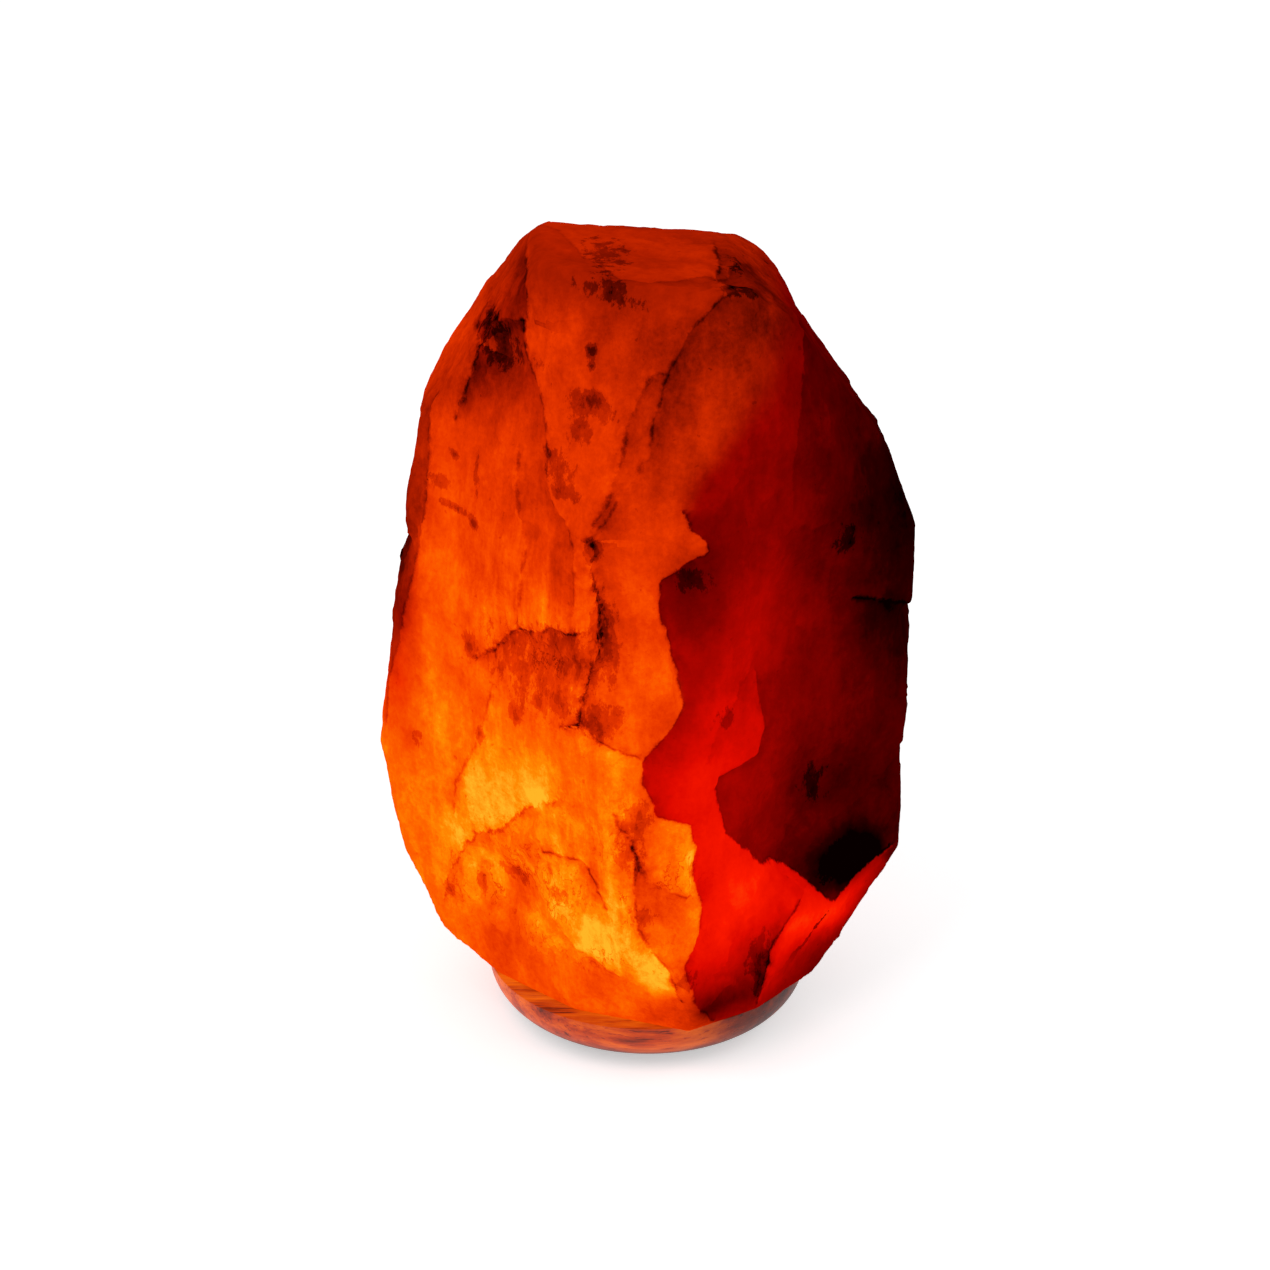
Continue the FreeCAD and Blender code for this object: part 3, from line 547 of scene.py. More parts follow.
SEAMS = (
    RIDGE, BREAK, LIP, CRACK, LOW_LEDGE,
    Seam("crown_edge", ((-36, 14), (-26, 2), (-19, -19), (-8, -38), (1, -40), (11, -35),
                        (22, -25), (30, 0)), (0.02, 0.07), (0.1, 0.2), relief=0.3, fade=12.0,
         dark=0.1, face=Face.TOP, layer="fine_b"),
    Seam("plate_left", ((-35, 256), (-35, 241), (-35, 232), (-31, 224), (-29, 213), (-28, 206),
                        (-29, 200), (-27, 193), (-24, 189), (-21, 180), (-22, 162)),
         (0.06, 0.05), (0.25, 0.05), fade=10.0, relief=0.5, dark=0.25, layer="fine_a"),
    Seam("strip", ((4, 235), (1, 235), (-3, 227), (-6, 218), (-7, 211), (-10, 204), (-12, 197),
                   (-17, 189)), (-0.05, -0.04), fade=6.0, relief=-0.5, dark=0.3,
         layer="fine_b"),
    Seam("band_left", ((-60, 222), (-50, 229), (-51, 224), (-53, 217), (-57, 204)),
         (-0.08, -0.05), (-0.3, -0.1), fade=9.0, relief=0.4, dark=0.35, layer="fine_b"),
    Seam("patch_top", ((-50, 229), (-46, 236), (-42, 239), (-36, 241), (-36, 233)),
         (0.07, 0.05), fade=10.0, relief=0.5, dark=0.3, layer="fine_c"),
    Seam("plate_fold", ((-37, 205), (-38, 190), (-36, 175), (-38, 158)), (-0.03, -0.05),
         fade=8.0, relief=-0.5, layer="fine_c"),
    Seam("ragged", ((-52, 134), (-49, 137), (-43, 143), (-38, 150), (-31, 152), (-29, 155),
                    (-24, 155), (-20, 157)),
         (0.07, 0.12), fade=9.0, relief=1.0, dark=0.4, layer="fine_b"),
    Seam("crack_foot", ((-25, 124), (-20, 127), (-14, 122), (-9, 119), (-3, 117)),
         (-0.07, -0.08), (-0.1, -0.15), fade=9.0, relief=0.7, dark=0.4, layer="fine_a"),
    Seam("soft_left", ((-46, 128), (-50, 110), (-54, 99), (-59, 87), (-60, 76)), (0.03, 0.03),
         fade=8.0, relief=0.4, dark=0.3, layer="fine_b"),
    Seam("low_line", ((-33, 74), (-30, 76), (-25, 77), (-20, 78), (-16, 71), (-13, 64)),
         (0.02, 0.05), fade=7.0, relief=0.5, dark=0.5, layer="fine_a"),
    Seam("lobe_edge", ((-10, 98), (-9, 94), (-5, 90), (-4, 81), (-4, 68), (-3, 59), (0, 54),
                       (6, 46), (10, 34)), (-0.05, -0.09), (-0.3, -0.35), fade=16.0,
         relief=0.6, dark=0.4, layer="fine_b"),
    Seam("facet", ((-5, 87), (-1, 76), (6, 73), (12, 70)), (0.03, 0.05), (0.1, 0.1), fade=7.0,
         relief=0.6, dark=0.35, layer="fine_c"),
    Seam("lobe", ((-33, 80), (-29, 68), (-30, 55), (-22, 44), (-9, 40)), (0.03, 0.05),
         fade=9.0, relief=0.5, dark=0.15, layer="fine_c"),
    Seam("toe", ((46, 52), (41, 47), (37, 40), (36, 31), (34, 22)), (0.13, 0.12), fade=9.0,
         relief=-0.6, dark=0.5, layer="fine_a"),
    Seam("right_facet", ((44, 252), (44, 226), (42, 205), (41, 188)), (-0.07, -0.02),
         (-0.08, -0.05), fade=14.0, relief=0.0, dark=0.0, layer="fine_a"),
    Seam("flake_edge", ((31, 141), (26, 133), (21, 127), (17, 116)), (-0.03, -0.03), fade=8.0,
         relief=0.4, dark=0.1, layer="fine_a"),
    Seam("rim", ((0, 98), (-1, 114), (-4, 125), (-6, 135), (-7, 143), (-8, 160), (-6, 190),
                 (-2, 208)), (0.08, 0.08), fade=14.0, relief=0.3, dark=0.2, face=Face.LEFT,
         layer="fine_c"),
    Seam("back_ridge", ((-30, 246), (-12, 214), (6, 186), (2, 150), (14, 118), (34, 92)),
         (0.1, 0.07), (0.12, 0.08), fade=20.0, relief=1.3, face=Face.BACK, layer="fine_a"),
    Seam("back_ledge", ((-62, 96), (-44, 84), (-30, 92), (-12, 78), (8, 84), (22, 66)),
         (0.06, 0.1), fade=14.0, relief=1.3, dark=0.35, face=Face.BACK,
         layer="fine_b"),
    Seam("back_crack", ((40, 214), (36, 190), (42, 172), (35, 150)), (-0.06, -0.04),
         fade=8.0, relief=-1.0, dark=0.4, face=Face.BACK, layer="fine_c"),
    Seam("left_ledge", ((44, 168), (30, 160), (20, 166), (8, 152)), (0.05, 0.05),
         fade=9.0, relief=1.0, dark=0.3, face=Face.LEFT, layer="fine_a"),
    Seam("left_split", ((34, 226), (26, 204), (30, 186)), (-0.05, -0.05), fade=9.0,
         relief=0.8, face=Face.LEFT, layer="fine_b"),
    Seam("right_ledge", ((-20, 150), (-4, 140), (12, 148), (26, 132)), (0.06, 0.05),
         fade=10.0, relief=1.0, dark=0.3, face=Face.RIGHT, layer="fine_b"),
)

PATCHES = (
    Patch("thin_wall", (-38, 96), (14, 12), 0.07),
    Patch("hot_spot", (-34, 94), (3.5, 4), 0.12),
    Patch("bright_foot", (-14, 54), (13, 15), 0.16),
    Patch("foot_right", (4, 42), (10, 12), 0.14),
    Patch("left_red_edge", (-78, 116), (9, 34), -0.1, 0.7),
    Patch("dark_rim", (8, 152), (14, 44), -0.42, 0.2, Face.LEFT),
    Patch("left_bevel", (-58, 246), (18, 22), -0.02, 0.4),
    Patch("dim_upper_left", (-43, 222), (9, 13), -0.12, 0.15),
    Patch("dim_crown_left", (-34, 248), (11, 12), -0.08),
    Patch("dim_shoulder", (-58, 212), (9, 10), -0.14),
    Patch("dim_fold", (-46, 190), (9, 11), -0.1),
    Patch("dim_ink", (-22, 178), (7, 8), -0.12),
    Patch("dim_left_edge", (-74, 98), (7, 14), -0.1),
    Patch("dim_left_rim", (-73, 144), (6, 16), -0.12, 0.2),
    Patch("dim_facet", (0, 87), (8, 9), -0.1),
    Patch("dim_break", (2, 128), (7, 9), -0.1),
    Patch("dim_right", (57, 88), (14, 14), -0.12, 0.3),
    Patch("dim_crown_right", (40, 246), (16, 9), -0.1),
    Patch("clear_left", (-54, 152), (9, 10), 0.08),
    Patch("clear_low_left", (-54, 64), (9, 9), 0.1),
    Patch("clear_fold", (-36, 212), (8, 9), 0.06),
    Patch("dim_heel", (-44, 33), (14, 9), -0.1),
    Patch("clear_front", (-11, 22), (9, 6), 0.12),
    Patch("crown_top", (-6, -12), (34, 30), 0.04, 0.1, Face.TOP),
    Patch("clear_upper", (-22, 236), (10, 14), 0.1),
    Patch("clear_ridge", (-9, 226), (8, 18), 0.05),
    Patch("shade_ridge", (11, 228), (9, 16), -0.04),
    Patch("deep_break", (13, 166), (9, 12), -0.13, 0.2),
    Patch("dim_upper_break", (14, 176), (9, 7), -0.04, 0.2),
    Patch("red_face", (34, 156), (10, 18), 0.08),
    Patch("red_low_face", (20, 130), (9, 12), 0.05),
    Patch("orange_flake", (-1, 103), (8, 10), -0.06, 0.15),
    Patch("orange_facet", (8, 86), (8, 8), 0.08),
    Patch("above_lip", (46, 92), (17, 20), -0.17, 0.1),
    Patch("dark_hollow", (59, 60), (11, 10), -0.3, 0.2),
    Patch("red_toe", (22, 56), (14, 16), 0.18),
    Patch("red_strip", (57, 44), (16, 11), 0.3, 0.1),
    Patch("dark_toe", (18, 28), (13, 8), -0.3, 0.3),
    Patch("far_right", (84, 120), (12, 60), -0.08, 0.2),
    Patch("right_back", (78, 120), (22, 60), -0.05, 0.1, Face.BACK),
    Patch("back_clear", (-36, 92), (22, 26), 0.04, 0.0, Face.BACK),
    Patch("back_dull", (20, 176), (22, 30), -0.08, 0.2, Face.BACK),
)

# Dark marks in the glow: brown stains, specks and veins in the salt, and painted shade beside
# the crack, at the toe, at the break and in the hollows.
STAINS_AND_SHADE = (
    Patch("pit", (30, 257), (10, 4), 0.85),
    Patch("smudge", (-13, 255), (9, 3.5), 0.7),
    Patch("smudge_left", (-5, 252), (8, 3), 0.5),
    Patch("cloud_top", (-43, 231), (8, 8), 0.62),
    Patch("cloud_top_right", (-31, 231), (6, 3), 0.45),
    Patch("blob", (-16, 223), (7, 4.5), 0.9),
    Patch("blob_tail", (-20, 216), (4, 6), 0.6),
    Patch("ring", (-25, 203), (6, 8), 0.6),
    Patch("ring_foot", (-24, 198), (5, 3), 0.8),
    Patch("speck_upper", (-16, 238), (1.6, 2.2), 1.1),
    Patch("speck_lower", (-16, 234), (1.5, 1.5), 1.0),
    Patch("speck_left", (-57, 194), (2, 1.8), 1.0),
    Patch("speck_edge", (-63, 184), (4, 3), 0.8),
    Patch("dash", (-57, 178), (5, 1.6), 1.0),
    Patch("dot", (-51, 176), (1.4, 2), 1.1),
    Patch("vein", (-50, 191), (1.2, 10), 0.5),
    Patch("ink", (-16, 183), (3, 4), 1.1),
    Patch("crack_shade", (-13, 155), (4, 13), 1.0),
    Patch("brown", (-22, 146), (11, 11), 0.9),
    Patch("brown_zone", (-33, 140), (18, 17), 0.62),
    Patch("brown_spots", (-32, 129), (3, 3), 1.0),
    Patch("brown_dot", (-39, 122), (2, 4), 0.9),
    Patch("left_dot", (-50, 109), (2, 3), 0.8),
    Patch("left_hook", (-71, 97), (2, 4), 0.7),
    Patch("low_dot", (-62, 46), (2, 3), 0.9),
    Patch("low_fold", (-51, 52), (2, 5), 0.7),
    Patch("red_cluster", (-4, 96), (6, 8), 0.75),
    Patch("red_foot", (12, 42), (5, 5), 0.6),
    Patch("brown_left", (-34, 146), (9, 6), 0.6),
    Patch("brown_tail", (-27, 134), (7, 10), 0.8),
    Patch("brown_edge", (-12, 152), (4, 14), 0.9),
    Patch("brown_foot", (-14, 128), (8, 8), 0.7),
    Patch("spot_low", (-53, 137), (3, 5), 0.95),
    Patch("shade_break", (12, 173), (8, 5), 0.6),
    Patch("hollow", (60, 60), (8, 7), 0.9),
    Patch("hollow_side", (50, 90), (6, 9), 0.6),
    Patch("dim_right", (58, 172), (5, 7), 0.55),
    Patch("mark_red", (22, 128), (4, 4), 0.55),
    Patch("brown_low", (-6, 84), (5, 9), 0.7),
    Patch("brown_low_foot", (-2, 64), (5, 5), 0.65),
    Patch("low_left", (-40, 62), (8, 5), 0.55),
    Patch("low_middle", (-26, 62), (5, 5), 0.45),
    Patch("toe_shade", (34, 38), (4, 12), 0.8),
    Patch("back_stain", (-14, 150), (10, 12), 0.7, 0.0, Face.BACK),
    Patch("back_stain_low", (30, 76), (9, 8), 0.6, 0.0, Face.BACK),
    Patch("left_stain", (30, 190), (8, 9), 0.6, 0.0, Face.LEFT),
)

LUMPS = (
    Patch("lumps_heel", (-40, 56), (26, 22), 1.0),
    Patch("lumps_foot", (-12, 62), (18, 34), 0.9),
    Patch("lumps_brown", (-30, 142), (20, 17), 0.8),
    Patch("lumps_red", (6, 76), (14, 22), 0.8),
    Patch("lumps_back", (0, 90), (50, 40), 0.7, 0.0, Face.BACK),
)

STREAKS = (
    Patch("streaks_left", (-32, 150), (22, 36), 0.9),
    Patch("streaks_foot", (-14, 92), (14, 24), 0.7),
    Patch("streaks_back", (-10, 170), (40, 40), 0.7, 0.0, Face.BACK),
)


@dataclass(frozen=True)
class SaltFinish:
    """Glowing rock salt: light and iron set its colour, with grain, veins and specks.

    Attributes:
        gleam: how much of the studio's light the surface throws back.
        strength: strength of the glow.
        grain: depth of the finest relief, in millimetres.
    """

    gleam: float = 0.0
    strength: float = 1.0
    grain: float = 0.35

    def texture(self, graph: Graph, iron: Socket) -> Socket:
        """Change of light by cloud, streak, flake, outline and grain, weaker in iron."""
        lumps, streaks, smooth, _ = graph.parts("skin")
        cloud = graph.math("SUBTRACT", graph.noise(24.0, 7.0, 0.62, (1, 1, 0.7)), 0.5)
        streak = graph.math("SUBTRACT", graph.noise(7.0, 7.0, 0.68, (1, 1, 0.16)), 0.5)
        grain = graph.math("SUBTRACT", graph.noise(1.7, 5.0, 0.7), 0.5)
        lump = graph.noise(11.0, 8.0, 0.6, place=graph.warped(16.0, 9.0, (1, 1, 0.7)))
        flake = graph.math("SUBTRACT", graph.math("SNAP", lump, 0.05), 0.475)
        level = graph.math("SUBTRACT", graph.math("PINGPONG", lump, 0.1), 0.05)
        outline = graph.span(graph.math("ABSOLUTE", level), 0.0, 0.012, 1.0, 0.0)
        broken = graph.span(graph.noise(13.0, 4.0), 0.48, 0.6)
        line = graph.math("MULTIPLY", graph.math("MULTIPLY", outline, broken), lumps)
        speck = graph.span(graph.noise(2.6, 3.0, 0.5), 0.68, 0.76)
        change = graph.total((cloud, 0.28), (streak, 0.2),
                             (graph.math("MULTIPLY", streak, streaks), 0.45), (grain, 0.2),
                             (flake, 0.36), (graph.math("MULTIPLY", flake, lumps), 0.4),
                             (line, -0.26), (speck, -0.1))
        calm = graph.math("MULTIPLY", graph.span(iron, 0.2, 1.0, 1.0, 0.5),
                          graph.span(smooth, 0.0, 1.0, 1.0, 0.35))
        return graph.math("MULTIPLY", change, calm)

    def stepped(self, graph: Graph, layer: str, ragged: float) -> tuple[Socket, Socket]:
        """Light and iron that a layer of seams adds.

        Args:
            graph: the material in hand.
            layer: the mesh layer that holds each point's distance, steps and shadow.
            ragged: how far the line strays, in millimetres.

        Returns:
            The change of light and the change of iron.
        """
        near, light, iron, dark = graph.parts(layer)
        stray = graph.math("SUBTRACT", graph.noise(5.0, 6.0, 0.72), 0.5)
        line = graph.total((near, 1.0), (stray, ragged * 3.5))
        side = graph.span(line, -0.35, 0.35, -1.0, 1.0)
        gap = graph.math("ABSOLUTE", line)
        patchy = graph.math("MULTIPLY", dark, graph.span(graph.noise(6.0, 4.0), 0.38, 0.6))
        # Painted shade along the seam: a thin painted shadow line on it and a broader band of
        # painted shade round it, made patchy by noise.
        shadow = graph.math("MULTIPLY", graph.span(gap, 0.1, 0.9, 1.0, 0.0), patchy)
        painted_shade_band = graph.math("MULTIPLY", graph.span(gap, 0.3, 4.5, 1.0, 0.0), patchy)
        change = graph.total((graph.math("MULTIPLY", side, light), 1.0), (shadow, -0.5),
                             (painted_shade_band, -0.22))
        return change, graph.math("MULTIPLY", side, iron)

    def material(self) -> bpy.types.Material:
        """Build the material."""
        graph = Graph("rock_salt")
        glow, iron, stain_and_shade, crack_and_shadow_line = graph.parts("tone")
        ragged = {seam.layer: seam.ragged for seam in SEAMS[::-1]}
        changes = [self.stepped(graph, layer, stray) for layer, stray in ragged.items()]
        # Stains and painted shade darken the glow, and so do the real cracks together with the
        # seams' painted shadow lines.
        torn = graph.math("SUBTRACT", graph.noise(4.0, 7.0, 0.75, (1, 1, 0.55)), 0.5)
        stain_and_shade_blot = graph.total((stain_and_shade, 1.0), (graph.math("MULTIPLY", torn, graph.span(
            stain_and_shade, 0.04, 0.3)), 2.2))
        split = graph.total((crack_and_shadow_line, 1.0), (graph.noise(3.0, 4.0, 0.6), 0.5))
        terms = [(glow, 1.0), (self.texture(graph, iron), 1.0),
                 (graph.span(stain_and_shade_blot, 0.34, 0.5), -0.14), (graph.span(stain_and_shade_blot, 0.68, 0.9), -0.12),
                 (graph.span(split, 0.78, 1.2), -0.2)]
        light = graph.total(*terms, *[(change, 1.0) for change, _ in changes])
        iron_mottle = graph.math("SUBTRACT", graph.noise(15.0, 5.0, 0.6), 0.5)
        red = graph.total((iron, 1.0), (iron_mottle, 0.5),
                          *[(change, -1.0) for _, change in changes])
        clear = graph.ramp(light, (0.0, tint(8, 0, 0)), (0.1, tint(45, 2, 0)),
                           (0.2, tint(90, 8, 0)), (0.3, tint(138, 19, 0)),
                           (0.4, tint(175, 30, 0)), (0.5, tint(206, 42, 0)),
                           (0.6, tint(232, 55, 0)), (0.7, tint(250, 75, 0)),
                           (0.8, tint(254, 101, 0)), (0.9, tint(255, 138, 3)),
                           (1.0, tint(255, 182, 38)))
        ruddy = graph.ramp(light, (0.0, tint(7, 0, 0)), (0.12, tint(42, 0, 0)),
                           (0.25, tint(84, 0, 0)), (0.4, tint(130, 2, 0)),
                           (0.55, tint(175, 5, 0)), (0.7, tint(222, 10, 0)),
                           (0.85, tint(252, 24, 0)), (1.0, tint(255, 70, 6)))
        colour = graph.mix(graph.span(red, 0.05, 0.95), clear, ruddy)
        # Base colour is the glow's colour darkened, so the glow's pattern of light and shade is
        # painted into the surface colour too.
        albedo_with_painted_glow = graph.mix(0.88, colour, (0.0, 0.0, 0.0))
        fine = graph.total((graph.noise(1.6, 5.0, 0.7), 0.6), (graph.noise(6.0, 4.0), 0.6))
        graph.relief(fine, self.grain)
        graph.feed(graph.shader.inputs["Emission Color"], graph.mix(0.1, colour, (0.0,) * 3))
        return graph.finish(albedo_with_painted_glow, 0.5, Emission_Strength=self.strength,
                            Specular_IOR_Level=self.gleam)


@dataclass
class Stone:
    """The crystal: its chipped skin, its ledges and how light reaches it.

    Attributes:
        pitch: size of its mesh's squares, in millimetres.
        swell: height of its broad waves, in millimetres.
        pock: height of its small pits, in millimetres.
        slab: spacing and height of the large flakes, in millimetres.
        flake: spacing and height of the small flakes, in millimetres.
        by_height: light on the clear side, as (height, light).
        by_depth: light lost towards the right, as (across, light).
        narrowing: how that loss fades towards the crown, as (height, share).
        iron_above: where the iron starts above the break, as (height, across).
        iron_width: how softly it starts, as (height, width).
        corner: middle, radius and height of the swell at the crown's right corner.
        seed: seed of the flakes' places.
    """

    pitch: float = 1.15
    swell: float = 0.8
    pock: float = 0.16
    slab: tuple[float, float] = (21.0, 0.5)
    flake: tuple[float, float] = (7.5, 0.22)
    by_height: Curve = ((20, 0.72), (40, 0.78), (60, 0.81), (92, 0.85), (110, 0.81),
                        (125, 0.76), (155, 0.7), (180, 0.65), (200, 0.59), (222, 0.51),
                        (240, 0.43), (262, 0.38))
    by_depth: Curve = ((-60, 0.0), (-30, 0.02), (-12, 0.07), (0, 0.11), (12, 0.14), (24, 0.17),
                       (36, 0.24), (48, 0.36), (60, 0.48), (72, 0.58))
    narrowing: Curve = ((180, 1.0), (222, 0.62), (240, 0.43), (262, 0.3))
    iron_above: Curve = ((205, 14), (225, 28), (262, 44))
    iron_width: Curve = ((20, 9), (186, 10), (205, 18), (225, 30), (262, 30))
    corner: tuple[Colour, float, float] = ((42.0, 22.0, 242.0), 14.0, 4.5)
    seed: int = 11
    finish: SaltFinish = field(default_factory=SaltFinish)

    def skin(self) -> bpy.types.Object:
        """The node's solid as an even mesh with worn edges."""
        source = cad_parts["salt_crystal"]
        made = bpy.data.objects.new("salt_stone", source.data.copy())
        bpy.context.scene.collection.objects.link(made)
        remesh = made.modifiers.new("even", "REMESH")
        remesh.mode, remesh.voxel_size = "VOXEL", self.pitch * MM
        wear = made.modifiers.new("wear", "SMOOTH")
        wear.factor, wear.iterations = 0.5, 5
        settle(made)
        return made

    def free(self, points: np.ndarray) -> np.ndarray:
        """How far each point may move: not at all on the sawn sole or in the bored hole."""
        sole = corner("salt_crystal", high=False).z
        bulb_top = corner("bulb_glass").z
        wall = corner("wood_base").x * 0.5
        radius = np.hypot(points[:, 0], points[:, 1])
        above = np.clip((points[:, 2] - sole - 0.3) / 3.0, 0, 1)
        outside = np.clip((radius - wall) / 4.0, 0, 1)
        higher = np.clip((points[:, 2] - bulb_top - 46.0) / 4.0, 0, 1)
        return above * np.maximum(outside, higher)

    @staticmethod
    def waves(points: np.ndarray, size: float, octaves: int) -> np.ndarray:
        """Smooth noise at points, about -1 to 1, of a size in millimetres."""
        return np.array([noise.fractal(place, 1.0, 2.0, octaves) for place in points / size])

    def flakes(self, points: np.ndarray, spacing: float, seed: int) -> tuple:
        """Flat flakes over the stone, each with its own height and its own edge.

        Args:
            points: rows of x, y, z in millimetres.
            spacing: about how far apart the flakes lie, in millimetres.
            seed: seed of their places.

        Returns:
            Each point's flake's height, from -1 to 1, and how near it is to an edge, 0 to 1.
        """
        random = np.random.default_rng(seed)
        squash = np.array((1.0, 1.0, 0.62))
        low, high = points.min(axis=0), points.max(axis=0)
        count = int(np.prod((high - low) * squash / spacing))
        seeds = random.uniform(low, high, (count, 3)) * squash
        heights = random.uniform(-1, 1, count)
        tree = KDTree(count)
        for index, place in enumerate(seeds):
            tree.insert(place, index)
        tree.balance()
        push = np.stack([self.waves(points + 50.0 * axis, spacing * 0.6, 2)
                         for axis in range(3)], axis=1) * spacing * 0.35
        level, edge = np.zeros(len(points)), np.zeros(len(points))
        for index, place in enumerate((points + push) * squash):
            (_, first, near), (_, _, next_near) = tree.find_n(place, 2)
            level[index] = heights[first]
            edge[index] = max(0.0, 1.0 - (next_near - near) / (0.16 * spacing))
        return level, edge

    def light(self, points: np.ndarray) -> tuple[np.ndarray, np.ndarray]:
        """Light and iron at points, before seams and patches.

        Args:
            points: rows of x, y, z in millimetres.

        Returns:
            Light, from 0 to 1, and iron, from 0 to 1.
        """
        across, heights = points[:, 0], points[:, 2]
        loss = follow(self.by_depth, across) * follow(self.narrowing, heights)
        foot = tuple((height, place) for place, height in BREAK.points)
        edge, width = follow(foot + self.iron_above, heights), follow(self.iron_width, heights)
        iron = np.clip((across - edge) / width + 0.5, 0, 1)
        return follow(self.by_height, heights) - loss, iron * iron * (3 - 2 * iron)

    def build(self) -> bpy.types.Object:
        """Make the stone and put it in the crystal's place."""
        made = self.skin()
        mesh = made.data
        points = np.zeros(len(mesh.vertices) * 3)
        normals = points.copy()
        mesh.vertices.foreach_get("co", points)
        mesh.vertices.foreach_get("normal", normals)
        points, normals = points.reshape(-1, 3) / MM, normals.reshape(-1, 3)
        light, iron = self.light(points)
        broad = self.waves(points, 24.0, 3)
        pocks = self.waves(points, 3.2, 3)
        slab, slab_edge = self.flakes(points, self.slab[0], self.seed)
        flake, flake_edge = self.flakes(points, self.flake[0], self.seed + 1)
        height = (broad * self.swell + pocks * self.pock + slab * self.slab[1]
                  + flake * self.flake[1])
        crack_and_shadow_line = 0.22 * slab_edge + 0.1 * flake_edge
        light += 0.02 * slab + 0.012 * flake + 0.02 * pocks
        middle, radius, rise = self.corner
        height += rise * np.exp(-(np.linalg.norm(points - middle, axis=1) / radius) ** 2)
        layers = {seam.layer: np.zeros((len(points), 4)) for seam in SEAMS}
        strongest = {layer: np.full(len(points), -1.0) for layer in layers}
        for seam in SEAMS:
            near, along, weight = seam.measure(points)
            reach = np.exp(-(near / seam.fade) ** 2) * weight
            height += seam.relief * 0.5 * np.clip(near / 0.9, -1, 1) * reach
            step = follow(((0, seam.light[0]), (1, seam.light[1])), along) * reach
            rust = follow(((0, seam.iron[0]), (1, seam.iron[1])), along) * reach
            shade = seam.dark * weight * np.exp(-(near / 6.0) ** 2)
            values = np.stack((np.clip(near, -25, 25), step, rust, shade), axis=1)
            closer = reach > strongest[seam.layer]
            layers[seam.layer][closer] = values[closer]
            strongest[seam.layer][closer] = reach[closer]
            # The seams' painted shadow lines join the real cracks at the flakes' edges in one
            # channel.
            line = np.clip(1 - np.abs(near) / 2.2, 0, 1) * weight
            crack_and_shadow_line = np.maximum(crack_and_shadow_line, line * min(1.0, seam.dark * 1.2))
            LOG.debug("seam %s in layer %s", seam.name, seam.layer)
        for layer, values in layers.items():
            self.keep(mesh, layer, values)
        for patch in PATCHES:
            share = patch.strength(points)
            light += patch.light * share
            iron += patch.iron * share
            LOG.debug("patch %s", patch.name)
        stain_and_shade, lumps, streaks = (self.most(group, points) for group in (STAINS_AND_SHADE, LUMPS, STREAKS))
        crown = Face.TOP.lie(points)[1]
        self.keep(mesh, "skin", np.stack((lumps, streaks, crown, crown * 0), axis=1))
        height *= self.free(points)
        moved = (points + normals * height[:, None]) * MM
        mesh.vertices.foreach_set("co", moved.ravel())
        mesh.update()
        mesh.shade_smooth()
        self.keep(mesh, "tone", np.stack((light, np.clip(iron, 0, 1.2), stain_and_shade, crack_and_shadow_line), axis=1))
        return carry(made, "crystal_and_base", "salt_crystal",
                     self.finish.material())

    @staticmethod
    def most(group: tuple[Patch, ...], points: np.ndarray) -> np.ndarray:
        """Strongest patch of a group at each point."""
        return np.max([patch.light * patch.strength(points) for patch in group], axis=0)

    @staticmethod
    def keep(mesh: bpy.types.Mesh, name: str, values: np.ndarray) -> None:
        """Keep four values at each point of the mesh, under a name."""
        layer = mesh.attributes.new(name, "FLOAT_COLOR", "POINT")
        layer.data.foreach_set("color", values.astype(np.float32).ravel())


# ---------------------------------------------------------------- wooden base


@dataclass(frozen=True)
class WoodFinish:
    """Varnished hardwood with long grain, and a painted glow from the clear side of the stone
    above it.

    Attributes:
        light, middle, dark: the grain's colours.
        lit: the grain's dark, middle and light colours in the painted glow of the stone.
        gloss: roughness of the varnish's coat.
        glow: strength of the painted glow that the wood gives off as light.
    """

    light: Colour = tint(118, 34, 7)
    middle: Colour = tint(66, 13, 3)
    dark: Colour = tint(26, 5, 1)
    lit: tuple[Colour, Colour, Colour] = (tint(112, 24, 2), tint(205, 62, 2), tint(246, 108, 6))
    gloss: float = 0.3
    glow: float = 0.8

    def material(self) -> bpy.types.Material:
        """Build the material."""
        graph = Graph("dark_wood")
        fibre = graph.noise(5.0, 7.0, 0.68, (0.12, 1, 1))
        cloud = graph.noise(12.0, 5.0, 0.6, (0.4, 1, 1))
        pores = graph.span(graph.noise(1.1, 3.0, 0.7, (0.06, 1, 1)), 0.56, 0.68)
        value = graph.total((fibre, 0.9), (cloud, 0.5), (pores, -0.15))
        colour = graph.ramp(value, (0.5, self.dark), (0.68, self.middle), (0.9, self.light))
        # Colours of the painted glow of the stone on the grain.
        painted_glow_colour = graph.ramp(value, *zip((0.5, 0.66, 0.88), self.lit))
        split = graph.node("ShaderNodeSeparateXYZ")
        graph.feed(split.inputs[0], graph.place)
        across, _, height = split.outputs
        # Painted glow of the stone on the wood: full at the left, fading out by 36 mm to the
        # right, none on the lowest 3 mm of the side and full from 11 mm up.
        near = graph.math("MULTIPLY", graph.span(across, 0.002, 0.036, 1.0, 0.06),
                          graph.span(height, 0.003, 0.011, 0.0, 1.0))
        graph.feed(graph.shader.inputs["Emission Color"],
                   graph.mix(near, (0.0, 0.0, 0.0), painted_glow_colour))
        graph.relief(graph.total((fibre, 0.6), (pores, -0.6)), 0.12)
        return graph.finish(colour, 0.5, Coat_Weight=0.06, Coat_Roughness=self.gloss,
                            Emission_Strength=self.glow, Specular_IOR_Level=0.25)


